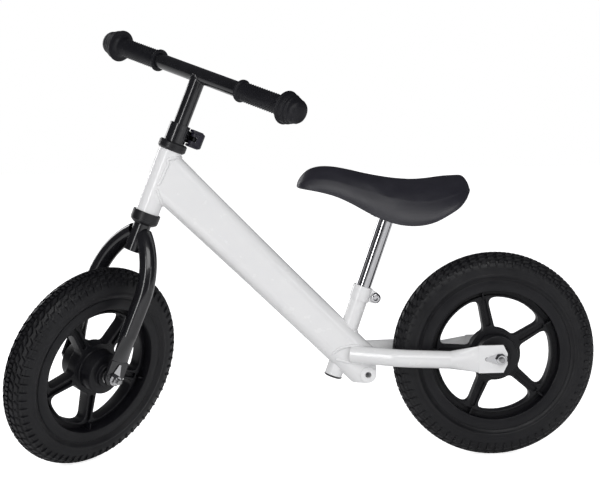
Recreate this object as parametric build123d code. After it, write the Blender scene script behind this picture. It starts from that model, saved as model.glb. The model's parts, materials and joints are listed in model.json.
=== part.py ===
from build123d import *
import math
import os

# Balance bike for a small child: steel frame, straight fork, moulded 12 inch wheels with foam tyres.
# Millimetres. The bike faces -X, the rider's left is -Y, +Z is up and the floor is z = 0.
# The origin is on the floor in the bike's middle plane, half way along its overall length.
# Frame and rear wheel are laid out from the rear axle. Everything that steers is laid out along
# the steering axis: its own z runs up that axis, its y is sideways and its x points rearwards.

# ---- Driving dimensions: layout ----
wheel_diameter = 300.0
tyre_width = 48.0
steering_foot_distance = 591.5     # rear axle to the foot of the steering axis, measured level
head_angle = 68.0                  # steering axis above the floor, degrees
steering_at_rest = 45.0            # how far the stored pose is steered to the rider's left
axle_setback = 7.0                 # front axle behind the steering axis
over_locknuts = 92.4               # between the inner faces of the drop-outs, both wheels

# ---- Driving dimensions: frame ----
head_tube_low = 237.4              # along the steering axis, from its foot
head_tube_length = 94.6
head_tube_diameter = 34.0
head_tube_bore = 30.0
main_tube_joint = 297.5            # where the main tube's centre line meets the steering axis
main_tube_slope = 44.9             # down to the rear, degrees
main_tube_heights = (68.0, 62.0, 57.5)
main_tube_widths = (33.0, 40.0, 42.0)
main_tube_stations = (0.0, 150.0, 450.0)
main_tube_wall = 2.0
main_tube_corner_share = 0.42      # corner radius as a share of the width
seat_tube_angle = 70.7
seat_tube_foot_x = -237.3          # from the rear axle
seat_tube_foot_height = 124.4
seat_tube_length = 137.0
seat_tube_diameter = 25.4
seat_slot_length = 26.0
tube_slot_width = 2.0
plug_rim = 0.6                     # the foot plug's rim beyond the tube
plug_bevel = 1.5
plug_thickness = 3.0
plug_insertion = 9.0
post_diameter = 22.2
stay_diameter = 25.4
stay_wall = 1.5
stay_offset = 46.5                 # sideways, to the middle of the stay beside the wheel
stay_bend_x = -143.0
stay_bend_radius = 60.0
stay_squeeze_length = 42.0         # from the round tube to the flat
stay_root = (-212.0, 18.0, 157.5)  # where the stay's centre line enters the main tube
boss_centre = (-188.5, 126.5)
boss_radius = 11.5
boss_bore = 9.0
boss_length = 46.0
boss_wall_beyond = 0.5             # main tube metal that shows around the boss

# ---- Driving dimensions: drop-outs ----
dropout_thickness = 4.4
dropout_height = 40.0
dropout_root = 32.0                # length of the flat ahead of the axle
dropout_tail = 10.0                # length of the flat behind the axle
dropout_corner = 6.0               # cut off each rear corner, and twice that in height
fork_end_root = 26.0               # length of the fork's flat above the axle
fork_end_corner = 8.0
slot_run_out = 30.0                # how far the axle slot is cut, past the flat's edge
squeeze_shoulder = 0.8             # the flat is this much wider than the tube's end, each side
tab_hole_distance = 20.0
tab_hole_diameter = 5.6

# ---- Driving dimensions: fork ----
steerer_diameter = 25.4
steerer_low = 178.0
steerer_high = 368.0
blade_diameter = 25.0
blade_wall = 1.6
blade_offset = 52.0
blade_bend_start = 118.0           # height along the steering axis where the blade leaves straight
blade_straight_low = 66.0
blade_bend_radius = 110.0
blade_bend_angle = 52.0
blade_flat_width = 34.0
cap_diameter = 40.8
lower_joint = 225.8                # split between the crown race and the lower cup
upper_joint = 338.4                # split between the upper cup and the top cap
top_cap_high = 344.6
cup_wall = 1.0
cup_skirt = 8.0                    # how far the cups go into the head tube
lower_cup_chamfer = 0.8
upper_cup_chamfer = 2.5
crown_race_height = 6.2
crown_race_inset = 0.4
top_cap_bevel = 1.8
headset_ball_diameter = 4.0
headset_ball_count = 18

# ---- Driving dimensions: handlebar ----
collar_low = 345.0
collar_height = 26.5
collar_diameter = 30.0
bar_height = 446.0                 # along the steering axis
bar_diameter = 22.2
bar_wall = 1.6
bar_half_length = 196.0
stem_insertion = 75.0
grip_start = 85.0
grip_end = 203.0
grip_flange_radius = 16.2
grip_barrel_radius = 13.8
grip_guard_radius = 24.0
skewer_x = 21.0                    # quick-release skewer behind the steering axis
skewer_diameter = 5.0
ear_thickness = 6.5
ear_gap = 3.0
ear_reach = 27.5
ear_inset = 5.0                    # the ears are this much shorter than the collar, each end
skewer_eye_radius = 3.8
skewer_eye_length = 6.0
skewer_thread_beyond_ear = 8.0
clamp_nut_radius = 6.5
clamp_nut_height = 6.0
lever_pin_diameter = 4.0
lever_width = 16.0
lever_fork_depth = 12.0            # the slot in the lever that clears the skewer's eye
lever_pivot_y = -15.5
lever_length = 25.0
lever_heights = (24.0, 17.0)
lever_thickness = 4.0

# ---- Driving dimensions: wheels ----
rim_radius = 112.0
rim_half_width = 20.7
rim_step_radius = 95.0
rim_channel_radius = 98.0
rim_lip = 3.5
window_outer_radius = 84.5
window_inner_radius = 38.5
rim_web_half_width = 13.0
spoke_count = 5
first_spoke_angle = 30.0
front_wheel_turn = -13.0           # the front wheel is stored turned this much further
window_outer_corner = 8.0
window_inner_corner = 4.0
spoke_half_width = 9.0             # along the axle
spoke_root_width = 19.0
spoke_tip_width = 13.5
spoke_groove_width = 6.5
spoke_groove_depth = 4.5
hub_disc_radius = 30.0
hub_half_width = 32.0
hub_boss_radius = 17.5
hub_boss_end = 38.5
hub_bore_radius = 9.0
shoulder_radius_on_tyre = 138.0    # where the tread's crown meets the sidewall
shoulder_half_width = 20.6

# ---- Driving dimensions: axles and bearings ----
axle_diameter = 8.0
bearing_diameter = 22.0
bearing_width = 7.0
bearing_ball_diameter = 4.0
bearing_ball_count = 7
washer_thickness = 1.5
washer_radius = 9.0
washer_tip_radius = 2.4
tab_size = (2.0, 3.6, 3.0)
sleeve_wall = 1.6
nut_across_flats = 13.0
nut_height = 6.5
axle_end_length = 5.0

# ---- Driving dimensions: seat ----
seat_clamp_height = 21.0
seat_clamp_wall = 1.8
clamp_bolt_x = 20.6
clamp_ear_thickness = 7.8
clamp_ear_end_radius = 7.5
clamp_nut_across_flats = 10.0
clamp_nut_thickness = 6.0
clamp_head_height = 6.0
clamp_slot_width = 2.4
clamp_bolt_diameter = 6.0
clamp_head_diameter = 15.5
post_insertion = 75.0
post_wall = 1.6
saddle_pocket_depth = 15.0
saddle_skirt = 6.0                 # padding thickness beside the base
base_thickness = 5.0
bracket_size = (46.0, 38.0, 3.0)
bracket_low = 241.5                # along the seat tube's axis, from its foot
saddle_bolt_spacing = (36.0, 26.0)
saddle_bolt_diameter = 5.0
saddle_bolt_grip = 6.0             # thread into the base, above the bracket
saddle_bolt_head_radius = 4.0
saddle_bolt_head_height = 3.0

# Saddle stations from nose to tail: place, lowest height, highest height, half width.
saddle_stations = (
    (-286.0, 398.5, 406.0, 12.0),
    (-280.0, 396.5, 417.0, 20.0),
    (-266.0, 394.0, 426.0, 27.0),
    (-240.0, 387.5, 428.0, 31.0),
    (-210.0, 374.5, 423.0, 36.0),
    (-180.0, 357.0, 416.0, 44.0),
    (-150.0, 344.5, 411.0, 54.0),
    (-122.0, 342.5, 409.5, 61.0),
    (-94.0, 348.5, 411.0, 64.0),
    (-66.0, 361.5, 413.5, 61.0),
    (-50.0, 373.0, 412.5, 52.0),
    (-39.0, 386.0, 402.5, 34.0),
)

# ---- Clearances ----
running = 0.05                     # radial, for a shaft or post that turns or slides in its bore
press = 0.02                       # radial, for a piece that is pressed or bonded home
apart = 0.3                        # between faces of pieces that move past each other

# ---- Worked-out layout ----
wheel_radius = wheel_diameter / 2
crown_rise = wheel_radius - shoulder_radius_on_tyre
crown_radius = (crown_rise ** 2 + shoulder_half_width ** 2) / (2 * crown_rise)
crown_centre_radius = wheel_radius - crown_radius
ball_pocket_depth = headset_ball_diameter + 2 * running
ball_ring_radius = cap_diameter / 2 - cup_wall - running - headset_ball_diameter / 2
lean = math.radians(head_angle)
turn = math.radians(steering_at_rest)
front_wheel_normal = (-math.sin(lean) * math.sin(turn), math.cos(turn), math.cos(lean) * math.sin(turn))


def tyre_reach(normal_share):
    """How far the tyre reaches from its centre along an axis that holds this share of the wheel's normal."""
    return crown_centre_radius * math.sqrt(1 - normal_share ** 2) + crown_radius


front_axle_height = tyre_reach(front_wheel_normal[2])
steering_foot_height = front_axle_height + axle_setback * math.cos(lean) * math.cos(turn)
front_axle_x = -steering_foot_distance + axle_setback * math.sin(lean) * math.cos(turn)
overall_length = wheel_radius - front_axle_x + tyre_reach(front_wheel_normal[0])
rear_axle_x = overall_length / 2 - wheel_radius
rear_axle = Pos(rear_axle_x, 0, wheel_radius)
from_rear_axle = Pos(rear_axle_x, 0, 0)


def leaning_place(x, height, angle):
    """A place whose z climbs rearwards at this angle above the floor, with x pointing rearwards."""
    slope = math.radians(angle)
    plane = Plane(
        origin=(x, 0, height),
        x_dir=(math.sin(slope), 0, -math.cos(slope)),
        z_dir=(math.cos(slope), 0, math.sin(slope)),
    )
    return plane.location


steering_axis = from_rear_axle * leaning_place(-steering_foot_distance, steering_foot_height, head_angle)
steered = steering_axis * Rot(0, 0, steering_at_rest)
front_axle = steered * Pos(axle_setback, 0, 0)
seat_axis = from_rear_axle * leaning_place(seat_tube_foot_x, seat_tube_foot_height, seat_tube_angle)
along_y = Rot(-90, 0, 0)           # turns a piece made around z so that it lies around y
dropout_inner = over_locknuts / 2
dropout_outer = dropout_inner + dropout_thickness
dropout_middle = (dropout_inner + dropout_outer) / 2
nut_start = dropout_outer + washer_thickness
axle_half_length = nut_start + nut_height + axle_end_length


# ---- Small tools ----
def ring(outer, inner, low, high):
    """A plain ring around z, given by its radii and its two ends."""
    middle = Pos(0, 0, (low + high) / 2)
    return middle * (Cylinder(outer, high - low) - Cylinder(inner, 2 * (high - low)))


def rod(radius, low, high):
    """A solid rod around z between two heights."""
    return Pos(0, 0, (low + high) / 2) * Cylinder(radius, high - low)


def turned(points):
    """A piece turned around z from a closed outline of (radius, height) points."""
    outline = Plane.XZ * make_face(Polyline(points, close=True))
    return revolve(outline, Axis.Z)


def both_sides(piece):
    """The piece and its mirror image on the other side of the middle plane."""
    return [piece, mirror(piece, Plane.XZ)]


def block(x_span, y_span, z_span):
    """A box given by its two limits along each axis."""
    size = [span[1] - span[0] for span in (x_span, y_span, z_span)]
    middle = [(span[0] + span[1]) / 2 for span in (x_span, y_span, z_span)]
    return Pos(*middle) * Box(*size)


def hexagon(across_flats, height):
    """A hexagonal block around z, standing on z = 0."""
    return extrude(RegularPolygon(across_flats / 2, 6, major_radius=False), height)


def axle_slot():
    """What is cut from a flat for the axle: round around z, then open along +x."""
    width = axle_diameter + 2 * running
    thickness = 4 * dropout_thickness
    round_end = Cylinder(width / 2, thickness)
    return round_end + Pos(slot_run_out / 2, 0, 0) * Box(slot_run_out, width, thickness)


def squeezed_end(round_place, flat_place, diameter, flat_width):
    """Where a round tube is pressed flat: it narrows to just inside the flat that it runs into."""
    thin = dropout_thickness / 2 - 2 * press
    wide = flat_width / 2 - squeeze_shoulder
    return loft([round_place * Circle(diameter / 2), flat_place * Ellipse(thin, wide)])


# ---- Frame ----
def head_tube():
    high = head_tube_low + head_tube_length
    return steering_axis * ring(head_tube_diameter / 2, head_tube_bore / 2, head_tube_low, high)


def main_tube_body(shrink):
    """The main tube's outer shape, or with a shrink its inside."""
    joint = steering_axis * Pos(0, 0, main_tube_joint)
    start = joint.position
    slope = math.radians(main_tube_slope)
    direction = Vector(math.cos(slope), 0, -math.sin(slope))
    sections = []
    for station, height, width in zip(main_tube_stations, main_tube_heights, main_tube_widths):
        plane = Plane(origin=start + direction * station, x_dir=(0, 1, 0), z_dir=direction)
        corner = main_tube_corner_share * width - shrink
        sections.append(plane * RectangleRounded(width - 2 * shrink, height - 2 * shrink, corner))
    return loft(sections) & main_tube_trim(shrink)


def main_tube_trim(shrink):
    """What is kept of the main tube: its lower end is cut upright and rounded about the boss."""
    x, height = boss_centre
    radius = boss_radius + boss_wall_beyond - shrink
    reach = 2 * steering_foot_distance
    side = x + radius
    foot = height - radius
    corner_x = x + radius * math.cos(math.radians(45))
    corner_z = height - radius * math.sin(math.radians(45))
    outline = [
        Line((side, height), (side, reach)),
        Line((side, reach), (-reach, reach)),
        Line((-reach, reach), (-reach, foot)),
        Line((-reach, foot), (x, foot)),
        ThreePointArc((x, foot), (corner_x, corner_z), (side, height)),
    ]
    face = Plane.XZ * make_face(outline)
    return from_rear_axle * extrude(face, main_tube_widths[-1], both=True)


def boss_place():
    x, height = boss_centre
    return from_rear_axle * Pos(x, 0, height) * along_y


def main_tube():
    shell = main_tube_body(0.0) - main_tube_body(main_tube_wall)
    shell -= steering_axis * rod(head_tube_diameter / 2 + press, 0, bar_height)
    shell -= seat_axis * rod(seat_tube_diameter / 2 + press, -seat_tube_length, 2 * seat_tube_length)
    shell -= boss_place() * Cylinder(boss_radius + press, boss_length)
    return largest(shell)


def largest(shape):
    """The biggest solid of a cut, without the crumbs that a cut can leave."""
    return sorted(shape.solids(), key=lambda solid: solid.volume)[-1]


def footrest_boss():
    return boss_place() * ring(boss_radius, boss_bore / 2, -boss_length / 2, boss_length / 2)


def seat_tube():
    tube = ring(seat_tube_diameter / 2, post_diameter / 2 + running, 0, seat_tube_length)
    half_slot = tube_slot_width / 2
    slot_low = seat_tube_length - seat_slot_length
    slot = block((0, seat_tube_diameter), (-half_slot, half_slot), (slot_low, seat_tube_length + 1))
    return seat_axis * (tube - slot)


def seat_tube_plug():
    bore = post_diameter / 2 + running - press
    rim = seat_tube_diameter / 2 + plug_rim
    outline = [
        (0, -plug_thickness),
        (rim - plug_bevel - plug_rim, -plug_thickness),
        (rim, plug_bevel - plug_thickness),
        (rim, -apart / 2),
        (bore, -apart / 2),
        (bore, plug_insertion),
        (0, plug_insertion),
    ]
    return seat_axis * turned(outline)


def chainstay():
    """The left stay: a bent tube from the main tube's side, flattened into a drop-out at the axle."""
    flat_start = -dropout_root
    round_end = flat_start - stay_squeeze_length
    rear_z = wheel_radius
    root_x, root_y, root_z = stay_root
    rise = (root_z - rear_z) / (root_x - round_end)

    def height_at(x):
        return rear_z + rise * (x - round_end)

    path = FilletPolyline(
        (root_x, -root_y, height_at(root_x)),
        (stay_bend_x, -stay_offset, height_at(stay_bend_x)),
        (round_end, -stay_offset, rear_z),
        radius=stay_bend_radius,
    )
    start = Plane(origin=path @ 0, z_dir=path % 0)
    tube = sweep(start * Circle(stay_diameter / 2), path=path)
    bore = sweep(start * Circle(stay_diameter / 2 - stay_wall), path=path)
    facing_rear = Plane(origin=path @ 1, x_dir=(0, 1, 0), z_dir=path % 1)
    facing_flat = Plane(origin=(flat_start, -dropout_middle, rear_z), x_dir=(0, 1, 0), z_dir=(1, 0, 0))
    squeeze = squeezed_end(facing_rear, facing_flat, stay_diameter, dropout_height)
    stay = from_rear_axle * (tube - bore + squeeze)
    stay -= main_tube_body(0.0)
    return largest(stay) + rear_axle * dropout_plate()


def dropout_plate():
    """The flat at the rear axle, on the left side, around the axle's centre."""
    half = dropout_height / 2
    outline = [
        (-dropout_root, -half),
        (dropout_tail - dropout_corner, -half),
        (dropout_tail, -half + 2 * dropout_corner),
        (dropout_tail, half - 2 * dropout_corner),
        (dropout_tail - dropout_corner, half),
        (-dropout_root, half),
    ]
    plate = Plane.XZ * make_face(Polyline(outline, close=True))
    plate = Pos(0, -dropout_inner, 0) * extrude(plate, dropout_thickness)
    plate -= Pos(0, -dropout_middle, 0) * along_y * axle_slot()
    hole = Cylinder(tab_hole_diameter / 2, 3 * dropout_thickness)
    return plate - Pos(-tab_hole_distance, -dropout_middle, 0) * along_y * hole


# ---- Headset ----
def headset_cup(split, inner_end, skirt_end, bevel):
    """A cup pressed into one end of the head tube. The split is where it faces the turning race."""
    outer = cap_diameter / 2
    bore = steerer_diameter / 2 + apart
    skirt = head_tube_bore / 2 - press
    raceway = outer - cup_wall
    pocket = split + math.copysign(ball_pocket_depth, inner_end - split)
    outline = [
        (raceway, split),
        (outer, split),
        (outer, inner_end + math.copysign(bevel, split - inner_end)),
        (outer - bevel, inner_end),
        (skirt, inner_end),
        (skirt, skirt_end),
        (bore, skirt_end),
        (bore, pocket),
        (raceway, pocket),
    ]
    return turned(outline)


def headset_lower_cup():
    skirt_end = head_tube_low + cup_skirt
    return steering_axis * headset_cup(lower_joint, head_tube_low - press, skirt_end, lower_cup_chamfer)


def headset_upper_cup():
    high = head_tube_low + head_tube_length
    return steering_axis * headset_cup(upper_joint, high + press, high - cup_skirt, upper_cup_chamfer)


def headset_balls(height):
    turn_step = 360 / headset_ball_count
    ball = Pos(ball_ring_radius, 0, height) * Sphere(headset_ball_diameter / 2)
    return [Rot(0, 0, number * turn_step) * ball for number in range(headset_ball_count)]


def race_nose():
    return ball_ring_radius - headset_ball_diameter / 2 - running


def crown_race():
    bore = steerer_diameter / 2 + press
    face = lower_joint - apart
    outer = cap_diameter / 2 - crown_race_inset
    bevel = crown_race_height / 3
    outline = [
        (bore, face - crown_race_height),
        (bore + bevel, face - crown_race_height),
        (outer - bevel, face - 2 * bevel),
        (outer, face - bevel),
        (outer, face),
        (race_nose(), face),
        (race_nose(), lower_joint + ball_pocket_depth - apart),
        (bore, lower_joint + ball_pocket_depth - apart),
    ]
    return steered * turned(outline)


def headset_top_cap():
    bore = steerer_diameter / 2 + press
    face = upper_joint + apart
    outer = cap_diameter / 2
    outline = [
        (bore, top_cap_high),
        (outer - top_cap_bevel, top_cap_high),
        (outer, top_cap_high - top_cap_bevel),
        (outer, face),
        (race_nose(), face),
        (race_nose(), upper_joint - ball_pocket_depth + apart),
        (bore, upper_joint - ball_pocket_depth + apart),
    ]
    return steered * turned(outline)


# ---- Fork ----
def fork_steerer():
    tube = ring(steerer_diameter / 2, bar_diameter / 2 + running, steerer_low, steerer_high)
    half_slot = tube_slot_width / 2
    slot = block((0, steerer_diameter), (-half_slot, half_slot), (collar_low, steerer_high + 1))
    return steered * (tube - slot)


def fork_blade():
    """The left blade: it leaves the steerer sideways, bends down and is flattened at the axle."""
    bend = math.radians(blade_bend_angle)
    centre_y = -blade_offset + blade_bend_radius
    root_y = centre_y - blade_bend_radius * math.cos(bend)
    root_z = blade_bend_start + blade_bend_radius * math.sin(bend)
    half_y = centre_y - blade_bend_radius * math.cos(bend / 2)
    half_z = blade_bend_start + blade_bend_radius * math.sin(bend / 2)
    arc = ThreePointArc((0, root_y, root_z), (0, half_y, half_z), (0, -blade_offset, blade_bend_start))
    leg = Line((0, -blade_offset, blade_bend_start), (0, -blade_offset, blade_straight_low))
    path = Wire([arc.edge(), leg.edge()])
    start = Plane(origin=path @ 0, z_dir=path % 0)
    tube = sweep(start * Circle(blade_diameter / 2), path=path)
    bore = sweep(start * Circle(blade_diameter / 2 - blade_wall), path=path)
    flat_high = fork_end_root
    round_place = Plane(origin=path @ 1, x_dir=(0, 1, 0), z_dir=path % 1)
    flat_place = Plane(origin=(axle_setback, -dropout_middle, flat_high), x_dir=(0, 1, 0), z_dir=(0, 0, -1))
    squeeze = squeezed_end(round_place, flat_place, blade_diameter, blade_flat_width)
    blade = tube - bore + squeeze
    blade -= rod(steerer_diameter / 2 + press, 0, bar_height)
    return steered * (largest(blade) + fork_end(flat_high))


def fork_end(flat_high):
    """The flat at the front axle on the left side: its corners cut below, its slot open downwards."""
    half = blade_flat_width / 2
    low = -dropout_tail
    corner = fork_end_corner
    outline = [
        Line((-half, flat_high), (-half, low + corner)),
        Line((-half, low + corner), (-half + corner, low)),
        Line((-half + corner, low), (half - corner, low)),
        Line((half - corner, low), (half, low + corner)),
        Line((half, low + corner), (half, flat_high)),
        Line((half, flat_high), (-half, flat_high)),
    ]
    plate = Plane.XZ * make_face(outline)
    plate = Pos(axle_setback, -dropout_inner, 0) * extrude(plate, dropout_thickness)
    slot = Rot(0, 90, 0) * along_y * axle_slot()
    plate -= Pos(axle_setback, -dropout_middle, 0) * slot
    hole = Cylinder(tab_hole_diameter / 2, 3 * dropout_thickness)
    return plate - Pos(axle_setback, -dropout_middle, tab_hole_distance) * along_y * hole


# ---- Handlebar and its quick release ----
def clamp_middle():
    return collar_low + collar_height / 2


def clamp_collar():
    bore = steerer_diameter / 2 + press
    band = ring(collar_diameter / 2, bore, collar_low, collar_low + collar_height)
    low = collar_low + ear_inset
    high = collar_low + collar_height - ear_inset
    ear = block((bore + press, ear_reach), (ear_gap / 2, ear_gap / 2 + ear_thickness), (low, high))
    ears = both_sides(ear)
    band = band + ears[0] + ears[1]
    band -= block((0, 2 * ear_reach), (-ear_gap / 2, ear_gap / 2), (0, bar_height))
    band -= rod(bore, 0, bar_height)
    skewer_hole = along_y * Cylinder(skewer_diameter / 2 + press, 2 * ear_reach)
    return steered * (band - Pos(skewer_x, 0, clamp_middle()) * skewer_hole)


def clamp_skewer():
    """The rod through the collar's ears, with an eye for the lever's pin at its left end."""
    low = lever_pivot_y
    high = ear_gap / 2 + ear_thickness + skewer_thread_beyond_ear
    shank = rod(skewer_diameter / 2, low, high)
    eye = Rot(90, 0, 0) * Cylinder(skewer_eye_radius, skewer_eye_length)
    pin_hole = Rot(90, 0, 0) * Cylinder(lever_pin_diameter / 2 + press, 2 * skewer_eye_length)
    skewer = shank + Pos(0, 0, low) * eye - Pos(0, 0, low) * pin_hole
    return steered * Pos(skewer_x, 0, clamp_middle()) * along_y * skewer


def clamp_nut():
    start = ear_gap / 2 + ear_thickness + press
    nut = ring(clamp_nut_radius, skewer_diameter / 2 + press, start, start + clamp_nut_height)
    return steered * Pos(skewer_x, 0, clamp_middle()) * along_y * nut


def lever_pin():
    place = steered * Pos(skewer_x, lever_pivot_y, clamp_middle())
    return place * Cylinder(lever_pin_diameter / 2, lever_width)


def clamp_lever():
    """A cam around the pin, with a curved blade that lies back beside the collar's ears."""
    cam_radius = -lever_pivot_y - ear_gap / 2 - ear_thickness - apart
    pin_bore = Cylinder(lever_pin_diameter / 2 + running, 2 * lever_width)
    eye_room = skewer_eye_length + 2 * apart
    cam = Cylinder(cam_radius, lever_width) - pin_bore - Cylinder(lever_fork_depth, eye_room)
    inner = -cam_radius + lever_thickness
    curve = [
        Line((0, -cam_radius), (4, -cam_radius)),
        ThreePointArc((4, -cam_radius), (lever_length * 0.62, inner - 2.4), (lever_length, inner + 3)),
        Line((lever_length, inner + 3), (lever_length - 2.4, inner + 6)),
        ThreePointArc((lever_length - 2.4, inner + 6), (lever_length * 0.52, inner + 1.6), (4, inner)),
        Line((4, inner), (0, inner)),
        Line((0, inner), (0, -cam_radius)),
    ]
    root_height, tip_height = lever_heights
    blade = extrude(make_face(curve), root_height / 2, both=True)
    side = Plane.XZ * make_face(Polyline(
        [(-9, -root_height / 2), (4, -root_height / 2), (lever_length + 1, -tip_height / 2),
         (lever_length + 1, tip_height / 2), (4, root_height / 2), (-9, root_height / 2)],
        close=True,
    ))
    blade &= extrude(side, 40, both=True)
    blade -= Cylinder(skewer_eye_radius + 1.2, eye_room)
    return steered * Pos(skewer_x, lever_pivot_y, clamp_middle()) * (cam + blade)


def stem_tube():
    low = collar_low + collar_height - stem_insertion
    tube = ring(bar_diameter / 2, bar_diameter / 2 - bar_wall, low, bar_height)
    bar = Pos(0, 0, bar_height) * along_y * Cylinder(bar_diameter / 2 + press, 2 * bar_diameter)
    return steered * largest(tube - bar)


def handlebar_tube():
    tube = ring(bar_diameter / 2, bar_diameter / 2 - bar_wall, -bar_half_length, bar_half_length)
    return steered * Pos(0, 0, bar_height) * along_y * tube


def grip():
    """The left grip: a flange, a barrel and a stepped round guard that closes the bar's end."""
    bore = bar_diameter / 2 + press
    guard = grip_guard_radius
    outline = [
        (bore, grip_start),
        (grip_flange_radius - 0.8, grip_start),
        (grip_flange_radius, grip_start + 0.8),
        (grip_flange_radius, grip_start + 3.2),
        (grip_barrel_radius, grip_start + 4.4),
        (grip_barrel_radius, grip_end - 36),
        (guard - 1.5, grip_end - 35),
        (guard, grip_end - 33),
        (guard, grip_end - 30),
        (guard - 2.5, grip_end - 28),
        (guard - 2.5, grip_end - 24),
        (guard - 4.5, grip_end - 22),
        (guard - 4.5, grip_end - 18),
        (guard - 6.0, grip_end - 9),
        (guard - 10.0, grip_end - 3),
        (guard - 15.0, grip_end),
        (0, grip_end),
        (0, bar_half_length + apart),
        (bore, bar_half_length + apart),
    ]
    return steered * Pos(0, 0, bar_height) * Rot(180, 0, 0) * along_y * turned(outline)


# ---- Wheels, made around z, then laid along the axle ----
def wheel_body():
    """Rim, five grooved spokes and hub in one moulding."""
    rim = turned([
        (window_outer_radius, -rim_web_half_width),
        (rim_step_radius - 1, -rim_web_half_width),
        (rim_step_radius, -rim_half_width),
        (rim_radius, -rim_half_width),
        (rim_radius, -rim_half_width + rim_lip),
        (rim_channel_radius, -rim_half_width + rim_lip),
        (rim_channel_radius, rim_half_width - rim_lip),
        (rim_radius, rim_half_width - rim_lip),
        (rim_radius, rim_half_width),
        (rim_step_radius, rim_half_width),
        (rim_step_radius - 1, rim_web_half_width),
        (window_outer_radius, rim_web_half_width),
    ])
    half_hub = [
        (hub_bore_radius, 0),
        (window_inner_radius, 0),
        (window_inner_radius, spoke_half_width + 3),
        (hub_disc_radius + 2.5, spoke_half_width + 5),
        (hub_disc_radius, hub_half_width - 1.5),
        (hub_disc_radius - 1.5, hub_half_width),
        (hub_boss_radius, hub_half_width),
        (hub_boss_radius, hub_boss_end - 1),
        (hub_boss_radius - 1, hub_boss_end),
        (bearing_diameter / 2 + press, hub_boss_end),
        (bearing_diameter / 2 + press, hub_boss_end - 0.5 - bearing_width),
        (hub_bore_radius, hub_boss_end - 0.5 - bearing_width),
    ]
    hub = turned(half_hub)
    hub += mirror(hub, Plane.XY)
    spoked_disc = extrude(wheel_windows(), spoke_half_width, both=True)
    body = rim + hub + spoked_disc
    for number in range(spoke_count):
        for groove in spoke_grooves():
            body -= Rot(0, 0, -spoke_angle(number)) * groove
    return body


def spoke_angle(number):
    return first_spoke_angle + number * 360 / spoke_count


def wheel_windows():
    """The flat outline between hub and rim: a disc with a window between each two spokes."""
    overlap = 1.0
    windows = Circle(window_outer_radius) - Circle(window_inner_radius)
    for number in range(spoke_count):
        windows -= Rot(0, 0, -spoke_angle(number)) * spoke_outline()
    outline = Circle(window_outer_radius + overlap) - Circle(window_inner_radius - overlap)
    for window in windows.faces():
        outline -= rounded_window(window)
    return outline


def rounded_window(window):
    """A window with its two outer corners and its two hub corners rounded."""
    by_reach = sorted(window.vertices(), key=lambda corner: math.hypot(corner.X, corner.Y))
    rounded = fillet(by_reach[2:], window_outer_corner)
    by_reach = sorted(rounded.vertices(), key=lambda corner: math.hypot(corner.X, corner.Y))
    return fillet(by_reach[:2], window_inner_corner)


def spoke_outline():
    """One spoke along +x, wide at the hub."""
    corners = [(0, spoke_root_width / 2), (window_outer_radius + 4, spoke_tip_width / 2)]
    mirrored = [(x, -y) for x, y in reversed(corners)]
    return make_face(Polyline(corners + mirrored, close=True))


def spoke_grooves():
    """The grooves down a spoke's two faces, for a spoke along +x."""
    end_gap = 4.0
    groove_length = window_outer_radius - window_inner_radius - 2 * end_gap
    groove = Pos(window_inner_radius + end_gap + groove_length / 2, 0, spoke_half_width)
    groove *= Box(groove_length, spoke_groove_width, 2 * spoke_groove_depth)
    return [groove, mirror(groove, Plane.XY)]


def tyre():
    """Foam tyre: a foot that fills the rim's channel, then sidewalls and a rounded crown."""
    foot = rim_half_width - rim_lip - press
    low = rim_channel_radius + press
    lip_top = rim_radius + press
    side = shoulder_half_width
    widest = tyre_width / 2
    shoulder = shoulder_radius_on_tyre
    belly = (lip_top + shoulder) / 2
    outline = [
        Line((low, -foot), (low, foot)),
        Line((low, foot), (lip_top, foot)),
        Line((lip_top, foot), (lip_top, side)),
        ThreePointArc((lip_top, side), (belly, widest), (shoulder, side)),
        ThreePointArc((shoulder, side), (wheel_radius, 0), (shoulder, -side)),
        ThreePointArc((shoulder, -side), (belly, -widest), (lip_top, -side)),
        Line((lip_top, -side), (lip_top, -foot)),
        Line((lip_top, -foot), (low, -foot)),
    ]
    return revolve(Plane.XZ * make_face(outline), Axis.Z)


bearing_outer_end = hub_boss_end - 0.5
bearing_inner_end = bearing_outer_end - bearing_width
ball_pitch_radius = (bearing_diameter + axle_diameter) / 4
ball_lane = bearing_ball_diameter / 2 + running


def bearing_outer_rings():
    piece = ring(bearing_diameter / 2, ball_pitch_radius + ball_lane, bearing_inner_end, bearing_outer_end)
    return [piece, mirror(piece, Plane.XY)]


def bearing_inner_rings():
    bore = axle_diameter / 2 + press
    piece = ring(ball_pitch_radius - ball_lane, bore, bearing_inner_end, bearing_outer_end)
    return [piece, mirror(piece, Plane.XY)]


def bearing_balls():
    height = (bearing_inner_end + bearing_outer_end) / 2
    balls = []
    for number in range(bearing_ball_count):
        turn_to = Rot(0, 0, number * 360 / bearing_ball_count)
        ball = turn_to * Pos(ball_pitch_radius, 0, height) * Sphere(bearing_ball_diameter / 2)
        balls += [ball, mirror(ball, Plane.XY)]
    return balls


def bearing_sleeve():
    end = bearing_inner_end - press
    return ring(axle_diameter / 2 + sleeve_wall, axle_diameter / 2 + press, -end, end)


def hub_locknuts():
    """The nuts that hold the bearings' inner rings and space the wheel from the drop-outs."""
    length = dropout_inner - bearing_outer_end - 2 * press
    nut = Pos(0, 0, bearing_outer_end + press) * hexagon(nut_across_flats, length)
    nut -= Cylinder(axle_diameter / 2 + press, 4 * dropout_outer)
    return [nut, mirror(nut, Plane.XY)]


def axle():
    return chamfer(Cylinder(axle_diameter / 2, 2 * axle_half_length).edges().filter_by(GeomType.CIRCLE), 0.8)


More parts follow.
